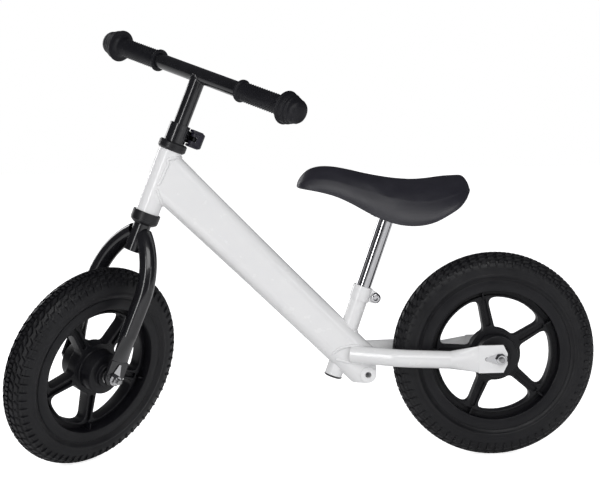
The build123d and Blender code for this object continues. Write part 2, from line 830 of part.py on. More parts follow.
def tab_washer(side):
    """A teardrop washer on one side (1 or -1). Its bent tab sits in the small hole, towards -x."""
    tip_x = -tab_hole_distance
    tip = washer_tip_radius
    shoulder_x = -0.46 * washer_radius
    shoulder_y = math.sqrt(washer_radius ** 2 - shoulder_x ** 2)
    outline = [
        Line((tip_x, tip), (shoulder_x, shoulder_y)),
        ThreePointArc((shoulder_x, shoulder_y), (washer_radius, 0), (shoulder_x, -shoulder_y)),
        Line((shoulder_x, -shoulder_y), (tip_x, -tip)),
        ThreePointArc((tip_x, -tip), (tip_x - tip, 0), (tip_x, tip)),
    ]
    plate = extrude(make_face(outline), washer_thickness - 2 * press)
    plate = Pos(0, 0, dropout_outer + press) * plate
    plate -= Cylinder(axle_diameter / 2 + press, 4 * dropout_outer)
    tab_length, tab_width, tab_depth = tab_size
    tab = Pos(tip_x, 0, dropout_outer - 0.4) * Box(tab_length, tab_width, tab_depth)
    washer = plate + tab
    return washer if side > 0 else mirror(washer, Plane.XY)


def tab_washers():
    return [tab_washer(1), tab_washer(-1)]


def axle_nuts():
    nut = Pos(0, 0, nut_start) * hexagon(nut_across_flats, nut_height)
    nut &= Pos(0, 0, nut_start) * turned_nut_envelope()
    nut -= Cylinder(axle_diameter / 2 + press, 4 * dropout_outer)
    return [nut, mirror(nut, Plane.XY)]


def turned_nut_envelope():
    """The turned shape that rounds off a nut's outer corners."""
    corner = nut_across_flats / 2 / math.cos(math.radians(30))
    return turned([(0, 0), (corner, 0), (corner, nut_height - 1.2), (corner - 1.4, nut_height), (0, nut_height)])


def wheel_pieces(name, place, spin):
    """Every piece on one axle, keyed by node name. The place puts the wheel's centre and faces it."""
    lay = place * along_y
    pieces = {
        "wheel": [Rot(0, 0, -spin) * wheel_body()],
        "tyre": [tyre()],
        "bearing_outer_rings": bearing_outer_rings(),
        "bearing_inner_rings": bearing_inner_rings(),
        "bearing_balls": bearing_balls(),
        "bearing_sleeve": [bearing_sleeve()],
        "hub_locknuts": hub_locknuts(),
        "axle": [axle()],
        "tab_washers": tab_washers(),
        "axle_nuts": axle_nuts(),
    }
    return {f"{name}_{node}": [lay * solid for solid in solids] for node, solids in pieces.items()}


# ---- Seat ----
clamp_ear_outer = clamp_slot_width / 2 + clamp_ear_thickness


def seat_clamp():
    bore = seat_tube_diameter / 2 + press
    low = seat_tube_length - seat_clamp_height
    outer = bore + seat_clamp_wall
    band = ring(outer, bore, low, seat_tube_length)
    half_slot = clamp_slot_width / 2
    ears = both_sides(seat_clamp_ear(bore + press))
    band = band + ears[0] + ears[1]
    band -= block((0, 2 * clamp_bolt_x), (-half_slot, half_slot), (0, 2 * seat_tube_length))
    band -= rod(bore, 0, 2 * seat_tube_length)
    bolt_hole = along_y * Cylinder(clamp_bolt_diameter / 2 + press, 4 * clamp_ear_thickness)
    return seat_axis * (band - Pos(clamp_bolt_x, 0, clamp_bolt_height()) * bolt_hole)


def seat_clamp_ear(start_x):
    """One ear: as high as the band at its root, rounded about the bolt at its end."""
    middle = clamp_bolt_height()
    half_root = seat_clamp_height / 2 - 1.0
    end = clamp_ear_end_radius
    outline = [
        Line((start_x, middle - half_root), (clamp_bolt_x, middle - end)),
        ThreePointArc((clamp_bolt_x, middle - end), (clamp_bolt_x + end, middle), (clamp_bolt_x, middle + end)),
        Line((clamp_bolt_x, middle + end), (start_x, middle + half_root)),
        Line((start_x, middle + half_root), (start_x, middle - half_root)),
    ]
    ear = extrude(Plane.XZ * make_face(outline), clamp_ear_outer - clamp_slot_width / 2)
    return Pos(0, -clamp_slot_width / 2, 0) * ear


def clamp_bolt_height():
    return seat_tube_length - seat_clamp_height / 2


def clamp_bolt_place():
    return seat_axis * Pos(clamp_bolt_x, 0, clamp_bolt_height()) * along_y


def seat_clamp_bolt():
    """The bolt across the seat clamp. Its round head is on the rider's left."""
    rim = clamp_head_diameter / 2
    seat = -clamp_ear_outer - press
    top = seat - clamp_head_height
    head = turned([(0, top), (rim / 2, top), (rim, (seat + top) / 2), (rim, seat), (0, seat)])
    bolt = head + rod(clamp_bolt_diameter / 2, seat - 1, clamp_ear_outer + 1.3 * clamp_nut_thickness)
    return clamp_bolt_place() * bolt


def seat_clamp_nut():
    nut = Pos(0, 0, clamp_ear_outer + press) * hexagon(clamp_nut_across_flats, clamp_nut_thickness)
    nut -= rod(clamp_bolt_diameter / 2 + press, 0, 2 * clamp_bolt_x)
    return clamp_bolt_place() * nut


def saddle_body(side_inset, low_inset, rise=None):
    """A loft along the saddle: its whole outside, or with a rise only that much above its underside."""
    sections = []
    for x, low, high, half_width in saddle_stations:
        half = half_width - side_inset
        top = high if rise is None else low + rise
        if half < saddle_skirt or top > high - saddle_skirt / 2 and rise is not None:
            continue
        height = top - low - low_inset
        corner = min(0.42 * height, 0.62 * half)
        middle = Plane(origin=(x, 0, top - height / 2), x_dir=(0, 1, 0), z_dir=(1, 0, 0))
        sections.append(middle * RectangleRounded(2 * half, height, corner))
    return from_rear_axle * loft(sections)


def saddle_cover():
    pocket = saddle_body(saddle_skirt, -2 * saddle_pocket_depth, saddle_pocket_depth)
    return largest(saddle_body(0.0, 0.0) - pocket)


def base_outside():
    return saddle_body(saddle_skirt + apart, -2 * saddle_pocket_depth, saddle_pocket_depth - apart)


def bracket_block(low, high, grow):
    """A block across the seatpost's axis, between two heights along it."""
    long_side, wide_side, _ = bracket_size
    half_long = long_side / 2 + grow
    half_wide = wide_side / 2 + grow
    return seat_axis * block((-half_long, half_long), (-half_wide, half_wide), (low, high))


def bracket_high():
    return bracket_low + bracket_size[2]


def saddle_bolt_places():
    """Where the four bolts pass the bracket's top face, each along the seatpost's axis."""
    long_step, wide_step = saddle_bolt_spacing
    corners = [(x * long_step / 2, y * wide_step / 2) for x in (-1, 1) for y in (-1, 1)]
    return [seat_axis * Pos(x, y, bracket_high()) for x, y in corners]


def saddle_base():
    """The moulded base under the padding, with a flat pad for the bracket on its underside."""
    below = saddle_body(-saddle_skirt, -4 * saddle_pocket_depth, saddle_pocket_depth - apart - base_thickness)
    pad = bracket_block(bracket_high() + press, bracket_high() + 2 * saddle_pocket_depth, 3.0)
    base = (base_outside() - below) + (pad & base_outside())
    for place in saddle_bolt_places():
        base -= place * rod(saddle_bolt_diameter / 2 + press, -20, saddle_bolt_grip + 0.5)
    return largest(base)


def saddle_bracket():
    """The flat plate that the seatpost is welded to."""
    plate = bracket_block(bracket_low, bracket_high(), 0.0)
    for place in saddle_bolt_places():
        plate -= place * rod(saddle_bolt_diameter / 2 + press, -20, 20)
    return plate


def saddle_bolts():
    under = -bracket_size[2] - press
    head = rod(saddle_bolt_head_radius, under - saddle_bolt_head_height, under)
    bolt = rod(saddle_bolt_diameter / 2, under - 1, saddle_bolt_grip) + head
    return [place * bolt for place in saddle_bolt_places()]


def seatpost():
    low = seat_tube_length - post_insertion
    return seat_axis * ring(post_diameter / 2, post_diameter / 2 - post_wall, low, bracket_low - press)


# ---- The whole bike ----
def frame_nodes():
    left_stay = chainstay()
    return {
        "head_tube": [head_tube()],
        "main_tube": [main_tube()],
        "seat_tube": [seat_tube()],
        "seat_tube_plug": [seat_tube_plug()],
        "chainstay_left": [left_stay],
        "chainstay_right": [mirror(left_stay, Plane.XZ)],
        "footrest_boss": [footrest_boss()],
        "seat_clamp": [seat_clamp()],
        "seat_clamp_bolt": [seat_clamp_bolt()],
        "seat_clamp_nut": [seat_clamp_nut()],
        "headset_lower_cup": [headset_lower_cup()],
        "headset_upper_cup": [headset_upper_cup()],
    }


def fork_nodes():
    left_blade = fork_blade()
    unsteered = steered.inverse() * left_blade
    lower_balls = headset_balls(lower_joint + ball_pocket_depth / 2 - apart / 2)
    upper_balls = headset_balls(upper_joint - ball_pocket_depth / 2 + apart / 2)
    return {
        "fork_steerer": [fork_steerer()],
        "fork_blade_left": [left_blade],
        "fork_blade_right": [steered * mirror(unsteered, Plane.XZ)],
        "crown_race": [crown_race()],
        "headset_top_cap": [headset_top_cap()],
        "headset_lower_balls": [steered * ball for ball in lower_balls],
        "headset_upper_balls": [steered * ball for ball in upper_balls],
        "clamp_collar": [clamp_collar()],
        "clamp_skewer": [clamp_skewer()],
        "clamp_nut": [clamp_nut()],
        "clamp_lever_pin": [lever_pin()],
        "clamp_lever": [clamp_lever()],
    }


def handlebar_nodes():
    left_grip = grip()
    unsteered = steered.inverse() * left_grip
    return {
        "stem_tube": [stem_tube()],
        "handlebar_tube": [handlebar_tube()],
        "grip_left": [left_grip],
        "grip_right": [steered * mirror(unsteered, Plane.XZ)],
    }


def seat_nodes():
    return {
        "seatpost": [seatpost()],
        "saddle_bracket": [saddle_bracket()],
        "saddle_bolts": saddle_bolts(),
        "saddle_base": [saddle_base()],
        "saddle_cover": [saddle_cover()],
    }


def write_nodes(nodes):
    for name, solids in nodes.items():
        shape = solids[0] if len(solids) == 1 else Compound(children=solids)
        export_step(shape, f"parts/{name}.step")


os.makedirs("parts", exist_ok=True)
write_nodes(frame_nodes())
write_nodes(fork_nodes())
write_nodes(handlebar_nodes())
write_nodes(seat_nodes())
write_nodes(wheel_pieces("rear", rear_axle, 0.0))
# The front washers' tabs point up the fork blades, so the whole front axle set is turned a quarter.
write_nodes(wheel_pieces("front", front_axle * Rot(0, 90, 0), front_wheel_turn))
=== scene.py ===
# %% [markdown]
# # A child's balance bike
# The steel frame, the bearings and every hole come from the engineering model, which is loaded as a
# fixed frame. This lesson dresses it: paint, chrome, moulded wheels, knobbly foam tyres, ribbed grips,
# weld beads and a padded saddle. Lengths are metres. The bike faces -X and its left side faces -Y.

# %% Load the frame
import json
import math

import bmesh
import bpy
from mathutils import Matrix, Vector
from mathutils.bvhtree import BVHTree


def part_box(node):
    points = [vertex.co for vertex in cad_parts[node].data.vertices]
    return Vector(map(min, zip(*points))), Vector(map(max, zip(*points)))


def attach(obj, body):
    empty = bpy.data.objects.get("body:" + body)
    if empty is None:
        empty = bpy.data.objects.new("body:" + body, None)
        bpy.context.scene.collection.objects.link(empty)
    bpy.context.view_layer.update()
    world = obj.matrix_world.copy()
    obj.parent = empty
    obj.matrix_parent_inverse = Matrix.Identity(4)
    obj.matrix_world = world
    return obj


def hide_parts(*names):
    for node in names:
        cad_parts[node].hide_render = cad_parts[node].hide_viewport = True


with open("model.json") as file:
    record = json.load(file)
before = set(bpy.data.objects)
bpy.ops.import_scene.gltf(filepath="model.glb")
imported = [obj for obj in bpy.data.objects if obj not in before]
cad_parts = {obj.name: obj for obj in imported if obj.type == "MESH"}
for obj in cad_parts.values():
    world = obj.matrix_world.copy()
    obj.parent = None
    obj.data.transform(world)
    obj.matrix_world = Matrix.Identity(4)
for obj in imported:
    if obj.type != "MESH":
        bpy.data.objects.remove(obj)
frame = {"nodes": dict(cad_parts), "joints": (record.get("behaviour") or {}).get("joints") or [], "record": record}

nodes = frame["nodes"]
scene = bpy.context.scene
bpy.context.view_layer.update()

# %% [markdown]
# ## Places on the bike
# Two places carry almost everything. The rear wheel's place has its own z along the axle towards the
# rider's left. The steering place stands at the foot of the head tube's axis, with z up the axis, y
# sideways and x towards the rear, turned with the bar. Both are read from the model's axles and joints,
# so nothing here has to be measured twice.

# %% Read the two places
millimetre = 0.001
axle_setback = 7.0 * millimetre
joints = {joint["name"]: joint for joint in frame["joints"]}


def middle_of(node):
    """The middle of a node's box."""
    low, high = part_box(node)
    return (low + high) / 2


def place_of(origin, across, onward, up):
    """The matrix of a place from its origin and its three directions."""
    turn = Matrix((across, onward, up)).transposed().to_4x4()
    return Matrix.Translation(origin) @ turn


steering_up = Vector(joints["steering"]["axis"]).normalized()
steering_side = Vector(joints["front_wheel_spin"]["axis"]).normalized()
steering_back = steering_side.cross(steering_up).normalized()
rear_centre = middle_of("rear_axle")
front_centre = middle_of("front_axle")
steering_foot = front_centre - steering_back * axle_setback
steering_place = place_of(steering_foot, steering_back, steering_side, steering_up)
rear_wheel_place = place_of(rear_centre, Vector((1, 0, 0)), Vector((0, 0, 1)), Vector((0, -1, 0)))
front_wheel_place = place_of(front_centre, steering_up, -steering_back, -steering_side)
seat_up = Vector(joints["saddle_height"]["axis"]).normalized()
seat_back = Vector((seat_up.z, 0, -seat_up.x))
seat_place = place_of(middle_of("seatpost"), seat_back, Vector((0, 1, 0)), seat_up)
print("rear axle", rear_centre[:], "front axle", front_centre[:])

# %% [markdown]
# ## Camera, lights and floor
# The camera stands a little ahead of the rider's left side with a long lens. Black gloss paint only
# looks black when it mirrors something dark, so the room is dim to reflections and white to the eye,
# and large soft boxes draw the long bright lines down the tubes.

# %% Camera
aim = Vector((-0.0058, 0.0, 0.3228))
camera_azimuth = math.radians(-4.82)
camera_elevation = math.radians(5.68)
camera_roll = math.radians(-0.66)
camera_distance = 2.1415

camera_data = bpy.data.cameras.new("camera")
camera_data.lens = 88.9
camera_data.sensor_width = 36.0
camera = bpy.data.objects.new("camera", camera_data)
scene.collection.objects.link(camera)
towards_camera = Vector((
    math.sin(camera_azimuth) * math.cos(camera_elevation),
    -math.cos(camera_azimuth) * math.cos(camera_elevation),
    math.sin(camera_elevation),
))
level_right = Vector((0, 0, 1)).cross(towards_camera).normalized()
level_up = towards_camera.cross(level_right)
right = level_right * math.cos(camera_roll) + level_up * math.sin(camera_roll)
camera.matrix_world = place_of(
    aim + towards_camera * camera_distance, right, towards_camera.cross(right), towards_camera
)
scene.camera = camera
print("camera at", [round(v, 3) for v in camera.matrix_world.translation])


# %% Lights
def soft_box(name, place, target, width, height, watts):
    """A rectangular lamp at a place, facing its target."""
    light = bpy.data.lights.new(name, "AREA")
    light.shape = "RECTANGLE"
    light.size = width
    light.size_y = height
    light.energy = watts
    box = bpy.data.objects.new(name, light)
    scene.collection.objects.link(box)
    away = (Vector(place) - Vector(target)).normalized()
    box.matrix_world = Matrix.Translation(place) @ away.to_track_quat("Z", "Y").to_matrix().to_4x4()
    return box


centre = Vector((0, 0, 0.3))
soft_box("front_box", (0.15, -2.1, 1.9), centre, 2.0, 1.0, 19)
soft_box("key_box", (-1.5, -2.1, 1.0), centre, 0.3, 1.8, 12)
soft_box("fill_box", (1.7, -2.2, 0.7), centre, 0.35, 1.5, 4)
soft_box("back_box", (-1.6, 1.9, 1.2), centre, 0.8, 1.6, 14)
scene.view_settings.view_transform = "Standard"

# %% The room
room = bpy.data.worlds.new("room")
room.use_nodes = True
scene.world = room
links = room.node_tree.links
background = room.node_tree.nodes["Background"]
background.inputs["Color"].default_value = (0.47, 0.47, 0.48, 1)
seen = room.node_tree.nodes.new("ShaderNodeBackground")
seen.inputs["Color"].default_value = (1, 1, 1, 1)
sight = room.node_tree.nodes.new("ShaderNodeLightPath")
mirrored = room.node_tree.nodes.new("ShaderNodeBackground")
mirrored.inputs["Color"].default_value = (0.06, 0.06, 0.065, 1)
mirror_choice = room.node_tree.nodes.new("ShaderNodeMixShader")
links.new(sight.outputs["Is Glossy Ray"], mirror_choice.inputs["Fac"])
links.new(background.outputs["Background"], mirror_choice.inputs[1])
links.new(mirrored.outputs["Background"], mirror_choice.inputs[2])
choose = room.node_tree.nodes.new("ShaderNodeMixShader")
links.new(sight.outputs["Is Camera Ray"], choose.inputs["Fac"])
links.new(mirror_choice.outputs["Shader"], choose.inputs[1])
links.new(seen.outputs["Background"], choose.inputs[2])
links.new(choose.outputs["Shader"], room.node_tree.nodes["World Output"].inputs["Surface"])
print("room", room.name, "with", len(room.node_tree.nodes), "nodes")

# %% [markdown]
# ## Shared shader effects
# Four small groups are shared by all the finishes. `grain` makes a fine bumpy skin, `mottle` varies a
# colour softly, `handling` rubs and dusts a surface in patches, and `polish_marks` varies a roughness.
# They read Object coordinates, which are the bike's own metres, so a pattern has the same real size on
# every piece.


# %% Node helpers
def add(tree, kind, **settings):
    """A new node in a tree, with its settings."""
    node = tree.nodes.new(kind)
    for name, value in settings.items():
        setattr(node, name, value)
    return node


def group_tree(name, inputs, outputs):
    """An empty shader group with float, colour or vector sockets, and its two end nodes."""
    kinds = {"value": "NodeSocketFloat", "colour": "NodeSocketColor", "vector": "NodeSocketVector"}
    tree = bpy.data.node_groups.new(name, "ShaderNodeTree")
    for label, kind in inputs.items():
        tree.interface.new_socket(label, in_out="INPUT", socket_type=kinds[kind])
    for label, kind in outputs.items():
        tree.interface.new_socket(label, in_out="OUTPUT", socket_type=kinds[kind])
    return tree, add(tree, "NodeGroupInput"), add(tree, "NodeGroupOutput")


def noise(tree, scale, detail=3.0, roughness=0.5):
    """A noise texture in object coordinates. The scale is a socket or a number, in waves per metre."""
    place = add(tree, "ShaderNodeTexCoord")
    texture = add(tree, "ShaderNodeTexNoise")
    texture.inputs["Detail"].default_value = detail
    texture.inputs["Roughness"].default_value = roughness
    tree.links.new(place.outputs["Object"], texture.inputs["Vector"])
    if isinstance(scale, (int, float)):
        texture.inputs["Scale"].default_value = scale
    else:
        tree.links.new(scale, texture.inputs["Scale"])
    return texture.outputs["Fac"]


def remap(tree, value, low, high, to_low=0.0, to_high=1.0):
    """A clamped map from one range of numbers to another."""
    node = add(tree, "ShaderNodeMapRange", clamp=True)
    for socket, number in zip(("From Min", "From Max"), (low, high)):
        node.inputs[socket].default_value = number
    for socket, number in zip(("To Min", "To Max"), (to_low, to_high)):
        if isinstance(number, (int, float)):
            node.inputs[socket].default_value = number
        else:
            tree.links.new(number, node.inputs[socket])
    tree.links.new(value, node.inputs["Value"])
    return node.outputs["Result"]


def multiply(tree, first, second):
    """A socket times a number or another socket."""
    node = add(tree, "ShaderNodeMath", operation="MULTIPLY")
    tree.links.new(first, node.inputs[0])
    if isinstance(second, (int, float)):
        node.inputs[1].default_value = second
    else:
        tree.links.new(second, node.inputs[1])
    return node.outputs[0]


def mix(tree, share, first, second):
    """Two colours mixed by a share."""
    node = add(tree, "ShaderNodeMix", data_type="RGBA")
    tree.links.new(share, node.inputs["Factor"])
    for socket, colour in ((node.inputs[6], first), (node.inputs[7], second)):
        if isinstance(colour, tuple):
            socket.default_value = (*colour, 1)
        else:
            tree.links.new(colour, socket)
    return node.outputs[2]


# %% The four groups
def make_grain():
    """A fine bumpy skin, as a normal."""
    tree, start, end = group_tree("grain", {"Scale": "value", "Depth": "value"}, {"Normal": "vector"})
    bump = add(tree, "ShaderNodeBump")
    height = noise(tree, start.outputs["Scale"], 4.0, 0.6)
    tree.links.new(multiply(tree, height, start.outputs["Depth"]), bump.inputs["Height"])
    bump.inputs["Distance"].default_value = 1.0
    tree.links.new(bump.outputs["Normal"], end.inputs["Normal"])
    return tree


def make_mottle():
    """Two colours in soft patches."""
    tree, start, end = group_tree(
        "mottle", {"First": "colour", "Second": "colour", "Scale": "value"}, {"Colour": "colour"}
    )
    share = remap(tree, noise(tree, start.outputs["Scale"]), 0.32, 0.68)
    tree.links.new(mix(tree, share, start.outputs["First"], start.outputs["Second"]), end.inputs["Colour"])
    return tree


def make_handling():
    """Speckled dust in patches over a colour, with its mask."""
    tree, start, end = group_tree(
        "handling",
        {"Colour": "colour", "Dust": "colour", "Scale": "value", "Amount": "value"},
        {"Colour": "colour", "Mask": "value"},
    )
    patches = remap(tree, noise(tree, start.outputs["Scale"], 5.0, 0.65), 0.46, 0.72)
    specks = remap(tree, noise(tree, 900.0, 2.0), 0.35, 0.7)
    mask = multiply(tree, multiply(tree, patches, specks), start.outputs["Amount"])
    tree.links.new(mix(tree, mask, start.outputs["Colour"], start.outputs["Dust"]), end.inputs["Colour"])
    tree.links.new(mask, end.inputs["Mask"])
    return tree


def make_polish_marks():
    """A roughness that wanders between two values."""
    tree, start, end = group_tree(
        "polish_marks",
        {"Scale": "value", "Smoothest": "value", "Roughest": "value"},
        {"Roughness": "value"},
    )
    marks = noise(tree, start.outputs["Scale"], 4.0, 0.6)
    rough = remap(tree, marks, 0.3, 0.7, start.outputs["Smoothest"], start.outputs["Roughest"])
    tree.links.new(rough, end.inputs["Roughness"])
    return tree


grain = make_grain()
mottle = make_mottle()
handling = make_handling()
polish_marks = make_polish_marks()
print("shader groups", [g.name for g in bpy.data.node_groups])

# %% [markdown]
# ## The finishes
# Each finish is its own short function. They all start from `finish`, which wires the shared groups to a
# Principled shader: a mottled colour, patches of dust, a varying roughness and a grain. Numbers that are
# the same all over, such as the coat of the paint, are set straight on the shader.


# %% The common wiring
def finish(name, colours, roughness, grain_size, dust=((0.4, 0.38, 0.36), 0.1), metallic=0.0, **sockets):
    """A material. grain_size is (waves per metre, height in metres); roughness is (least, most)."""
    material = bpy.data.materials.new(name)
    material.use_nodes = True
    tree = material.node_tree
    shader = tree.nodes["Principled BSDF"]
    shader.inputs["Metallic"].default_value = metallic
    for label, value in sockets.items():
        shader.inputs[label.replace("_", " ").title().replace("Ior", "IOR")].default_value = value
    spots = add(tree, "ShaderNodeGroup", node_tree=mottle)
    spots.inputs["First"].default_value = (*colours[0], 1)
    spots.inputs["Second"].default_value = (*colours[1], 1)
    spots.inputs["Scale"].default_value = 30.0
    touched = add(tree, "ShaderNodeGroup", node_tree=handling)
    touched.inputs["Dust"].default_value = (*dust[0], 1)
    touched.inputs["Scale"].default_value = 22.0
    touched.inputs["Amount"].default_value = dust[1]
    tree.links.new(spots.outputs["Colour"], touched.inputs["Colour"])
    tree.links.new(touched.outputs["Colour"], shader.inputs["Base Color"])
    marks = add(tree, "ShaderNodeGroup", node_tree=polish_marks)
    marks.inputs["Scale"].default_value = 60.0
    marks.inputs["Smoothest"].default_value = roughness[0]
    marks.inputs["Roughest"].default_value = roughness[1]
    tree.links.new(marks.outputs["Roughness"], shader.inputs["Roughness"])
    skin = add(tree, "ShaderNodeGroup", node_tree=grain)
    skin.inputs["Scale"].default_value = grain_size[0]
    skin.inputs["Depth"].default_value = grain_size[1]
    tree.links.new(skin.outputs["Normal"], shader.inputs["Normal"])
    return material


# %% Each finish
def white_paint():
    """Thick white enamel with a faint orange-peel surface under its gloss."""
    return finish(
        "white_paint", ((0.84, 0.84, 0.845), (0.86, 0.86, 0.86)), (0.24, 0.28), (160.0, 0.000012),
        dust=((0.7, 0.69, 0.67), 0.02), coat_weight=0.6, coat_roughness=0.07,
    )


def black_paint():
    """Deep gloss black on the fork, stem and handlebar."""
    return finish(
        "black_paint", ((0.006, 0.006, 0.0075), (0.009, 0.009, 0.011)), (0.16, 0.26), (180.0, 0.00004),
        dust=((0.1, 0.1, 0.1), 0.06), coat_weight=0.7, coat_roughness=0.05,
    )


def moulded_plastic():
    """The wheels and the saddle's base: glass-filled nylon with a fine spark-eroded grain."""
    return finish(
        "moulded_plastic", ((0.004, 0.004, 0.006), (0.007, 0.007, 0.009)), (0.34, 0.46), (1400.0, 0.00004),
        dust=((0.06, 0.058, 0.058), 0.08), ior=1.4,
    )


def satin_cap():
    """The headset's cups, race and cap, and the plug of the seat tube."""
    return finish(
        "satin_cap", ((0.008, 0.008, 0.01), (0.013, 0.013, 0.015)), (0.3, 0.42), (1100.0, 0.00003),
        dust=((0.1, 0.1, 0.1), 0.1),
    )


def lever_plastic():
    """The release lever's slightly violet black."""
    return finish(
        "lever_plastic", ((0.008, 0.0065, 0.017), (0.013, 0.011, 0.024)), (0.34, 0.44), (1500.0, 0.00002),
        dust=((0.1, 0.1, 0.1), 0.08),
    )


def foam_rubber():
    """Closed-cell foam: dull, with a skin of tiny pores."""
    return finish(
        "foam_rubber", ((0.005, 0.005, 0.0065), (0.009, 0.009, 0.011)), (0.36, 0.52), (1700.0, 0.0001),
        dust=((0.09, 0.086, 0.084), 0.14), ior=1.4,
    )


def grip_rubber():
    """Soft matt rubber."""
    return finish(
        "grip_rubber", ((0.005, 0.005, 0.008), (0.008, 0.008, 0.011)), (0.4, 0.52), (1500.0, 0.00005),
        dust=((0.08, 0.078, 0.08), 0.08), ior=1.4,
    )


def saddle_skin():
    """Soft vinyl with a very fine leather grain and a low sheen."""
    return finish(
        "saddle_skin", ((0.014, 0.0135, 0.021), (0.018, 0.0175, 0.026)), (0.4, 0.48), (1300.0, 0.00006),
        dust=((0.12, 0.115, 0.115), 0.04), ior=1.6,
    )


def chrome():
    """Polished plating on the seatpost, the axle nuts and washers and the clamp's bolt."""
    return finish(
        "chrome", ((0.62, 0.62, 0.64), (0.7, 0.7, 0.71)), (0.04, 0.12), (500.0, 0.000008),
        dust=((0.3, 0.29, 0.28), 0.08), metallic=1.0,
    )


def zinc():
    """Dull plating on the axles, the hubs' locknuts and the saddle's bracket and bolts."""
    return finish(
        "zinc", ((0.38, 0.38, 0.39), (0.5, 0.5, 0.5)), (0.25, 0.4), (700.0, 0.00002),
        dust=((0.2, 0.19, 0.18), 0.15), metallic=1.0,
    )


def black_oxide():
    """The quick release's skewer, pin and nut."""
    return finish(
        "black_oxide", ((0.02, 0.02, 0.022), (0.032, 0.032, 0.034)), (0.32, 0.46), (900.0, 0.00002),
        dust=((0.1, 0.1, 0.1), 0.08), metallic=1.0,
    )


paints = {
    "white_paint": white_paint(),
    "black_paint": black_paint(),
    "black_plastic": moulded_plastic(),
    "lever_plastic": lever_plastic(),
    "foam_tyre": foam_rubber(),
    "grip_rubber": grip_rubber(),
    "saddle_cover": saddle_skin(),
    "chrome": chrome(),
    "zinc_steel": zinc(),
}
cap_finish = satin_cap()
oxide_finish = black_oxide()
print("finishes", sorted(paints))

# %% [markdown]
# ## Dressing the model's own parts
# The tubes, caps, nuts and washers have the right shape already, so they stay and only get their finish.


# %% Give every model part its finish
def dress(obj, material):
    """Gives an object this one material."""
    obj.data.materials.clear()
    obj.data.materials.append(material)


for row in frame["record"]["subparts"]:
    dress(nodes[row["node"]], paints[row["material_slot"]])
for cap in ("seat_tube_plug", "headset_lower_cup", "headset_upper_cup", "crown_race", "headset_top_cap"):
    dress(nodes[cap], cap_finish)
for dark_steel in ("clamp_skewer", "clamp_lever_pin", "clamp_nut"):
    dress(nodes[dark_steel], oxide_finish)

# %% The floor
floor_half = 8.0
floor_corners = [(x * floor_half, y * floor_half, 0) for x, y in ((-1, -1), (1, -1), (1, 1), (-1, 1))]
floor_mesh = bpy.data.meshes.new("floor")
floor_mesh.from_pydata(floor_corners, [], [(0, 1, 2, 3)])
floor = bpy.data.objects.new("floor", floor_mesh)
scene.collection.objects.link(floor)
floor_finish = finish(
    "floor_paper", ((0.93, 0.93, 0.93), (0.95, 0.95, 0.95)), (0.6, 0.7), (40.0, 0.00002),
    dust=((0.9, 0.9, 0.9), 0.05),
)
paper = floor_finish.node_tree
paper_shader = paper.nodes["Principled BSDF"]
paper_shader.inputs["Emission Color"].default_value = (1, 1, 1, 1)
floor_glow = 0.82
ray = add(paper, "ShaderNodeLightPath")
glow = multiply(paper, ray.outputs["Is Camera Ray"], floor_glow)
paper.links.new(glow, paper_shader.inputs["Emission Strength"])
dress(floor, floor_finish)
print("floor", 2 * floor_half, "metres wide")

# %% [markdown]
# ## Mesh helpers
# Most round pieces are one closed outline turned about an axis. `turned` does that with its own vertex
# loop, which keeps the quads even. `grown` runs a Geometry Nodes tree on an object and returns the
# result as a plain mesh.


# %% Helpers
def new_piece(name, mesh, material):
    """A mesh as an object in the scene, dressed."""
    piece = bpy.data.objects.new(name, mesh)
    scene.collection.objects.link(piece)
    dress(piece, material)
    return piece


def mesh_from(name, points, faces, smooth=True):
    """A mesh from points and faces, all smooth or all flat."""
    mesh = bpy.data.meshes.new(name)
    mesh.from_pydata(points, [], faces)
    mesh.polygons.foreach_set("use_smooth", [smooth] * len(mesh.polygons))
    return mesh


def grid_faces(rows, columns, closed=True):
    """Quads over rows that each hold a ring of points. If closed, the last row joins the first."""
    faces = []
    for row in range(rows if closed else rows - 1):
        after = (row + 1) % rows
        for column in range(columns):
            beside = (column + 1) % columns
            faces.append((
                row * columns + column, row * columns + beside,
                after * columns + beside, after * columns + column,
            ))
    return faces


def turned(name, outline, segments=192):
    """A closed outline of (radius, height) points, in millimetres, turned about z."""
    points = []
    for number in range(segments):
        angle = number * math.tau / segments
        for radius, height in outline:
            points.append(Vector((radius * math.cos(angle), radius * math.sin(angle), height)) * millimetre)
    mesh = mesh_from(name, points, grid_faces(segments, len(outline)))
    weld_and_face_out(mesh)
    return mesh


def weld_and_face_out(mesh, distance=0.00001):
    """Merges points this close, and turns all faces outwards. A distance of zero merges nothing."""
    shape = bmesh.new()
    shape.from_mesh(mesh)
    if distance > 0:
        bmesh.ops.remove_doubles(shape, verts=shape.verts, dist=distance)
    bmesh.ops.recalc_face_normals(shape, faces=shape.faces)
    shape.to_mesh(mesh)
    shape.free()


def joined(name, meshes, place=None):
    """Several meshes as one, moved to a place. Sharp creases stay sharp when it is shaded smooth."""
    shape = bmesh.new()
    for mesh in meshes:
        shape.from_mesh(mesh)
    whole = bpy.data.meshes.new(name)
    shape.to_mesh(whole)
    shape.free()
    if place is not None:
        whole.transform(place)
    return whole


def sharp_above(mesh, degrees):
    """Marks edges sharper than this angle, so that smooth shading stops at them."""
    shape = bmesh.new()
    shape.from_mesh(mesh)
    limit = math.radians(degrees)
    for edge in shape.edges:
        edge.smooth = len(edge.link_faces) == 2 and edge.calc_face_angle(0.0) < limit
    shape.to_mesh(mesh)
    shape.free()


def evaluated_mesh(obj):
    """The mesh that an object's modifiers or curve settings give."""
    bpy.context.view_layer.update()
    return bpy.data.meshes.new_from_object(obj.evaluated_get(bpy.context.evaluated_depsgraph_get()))


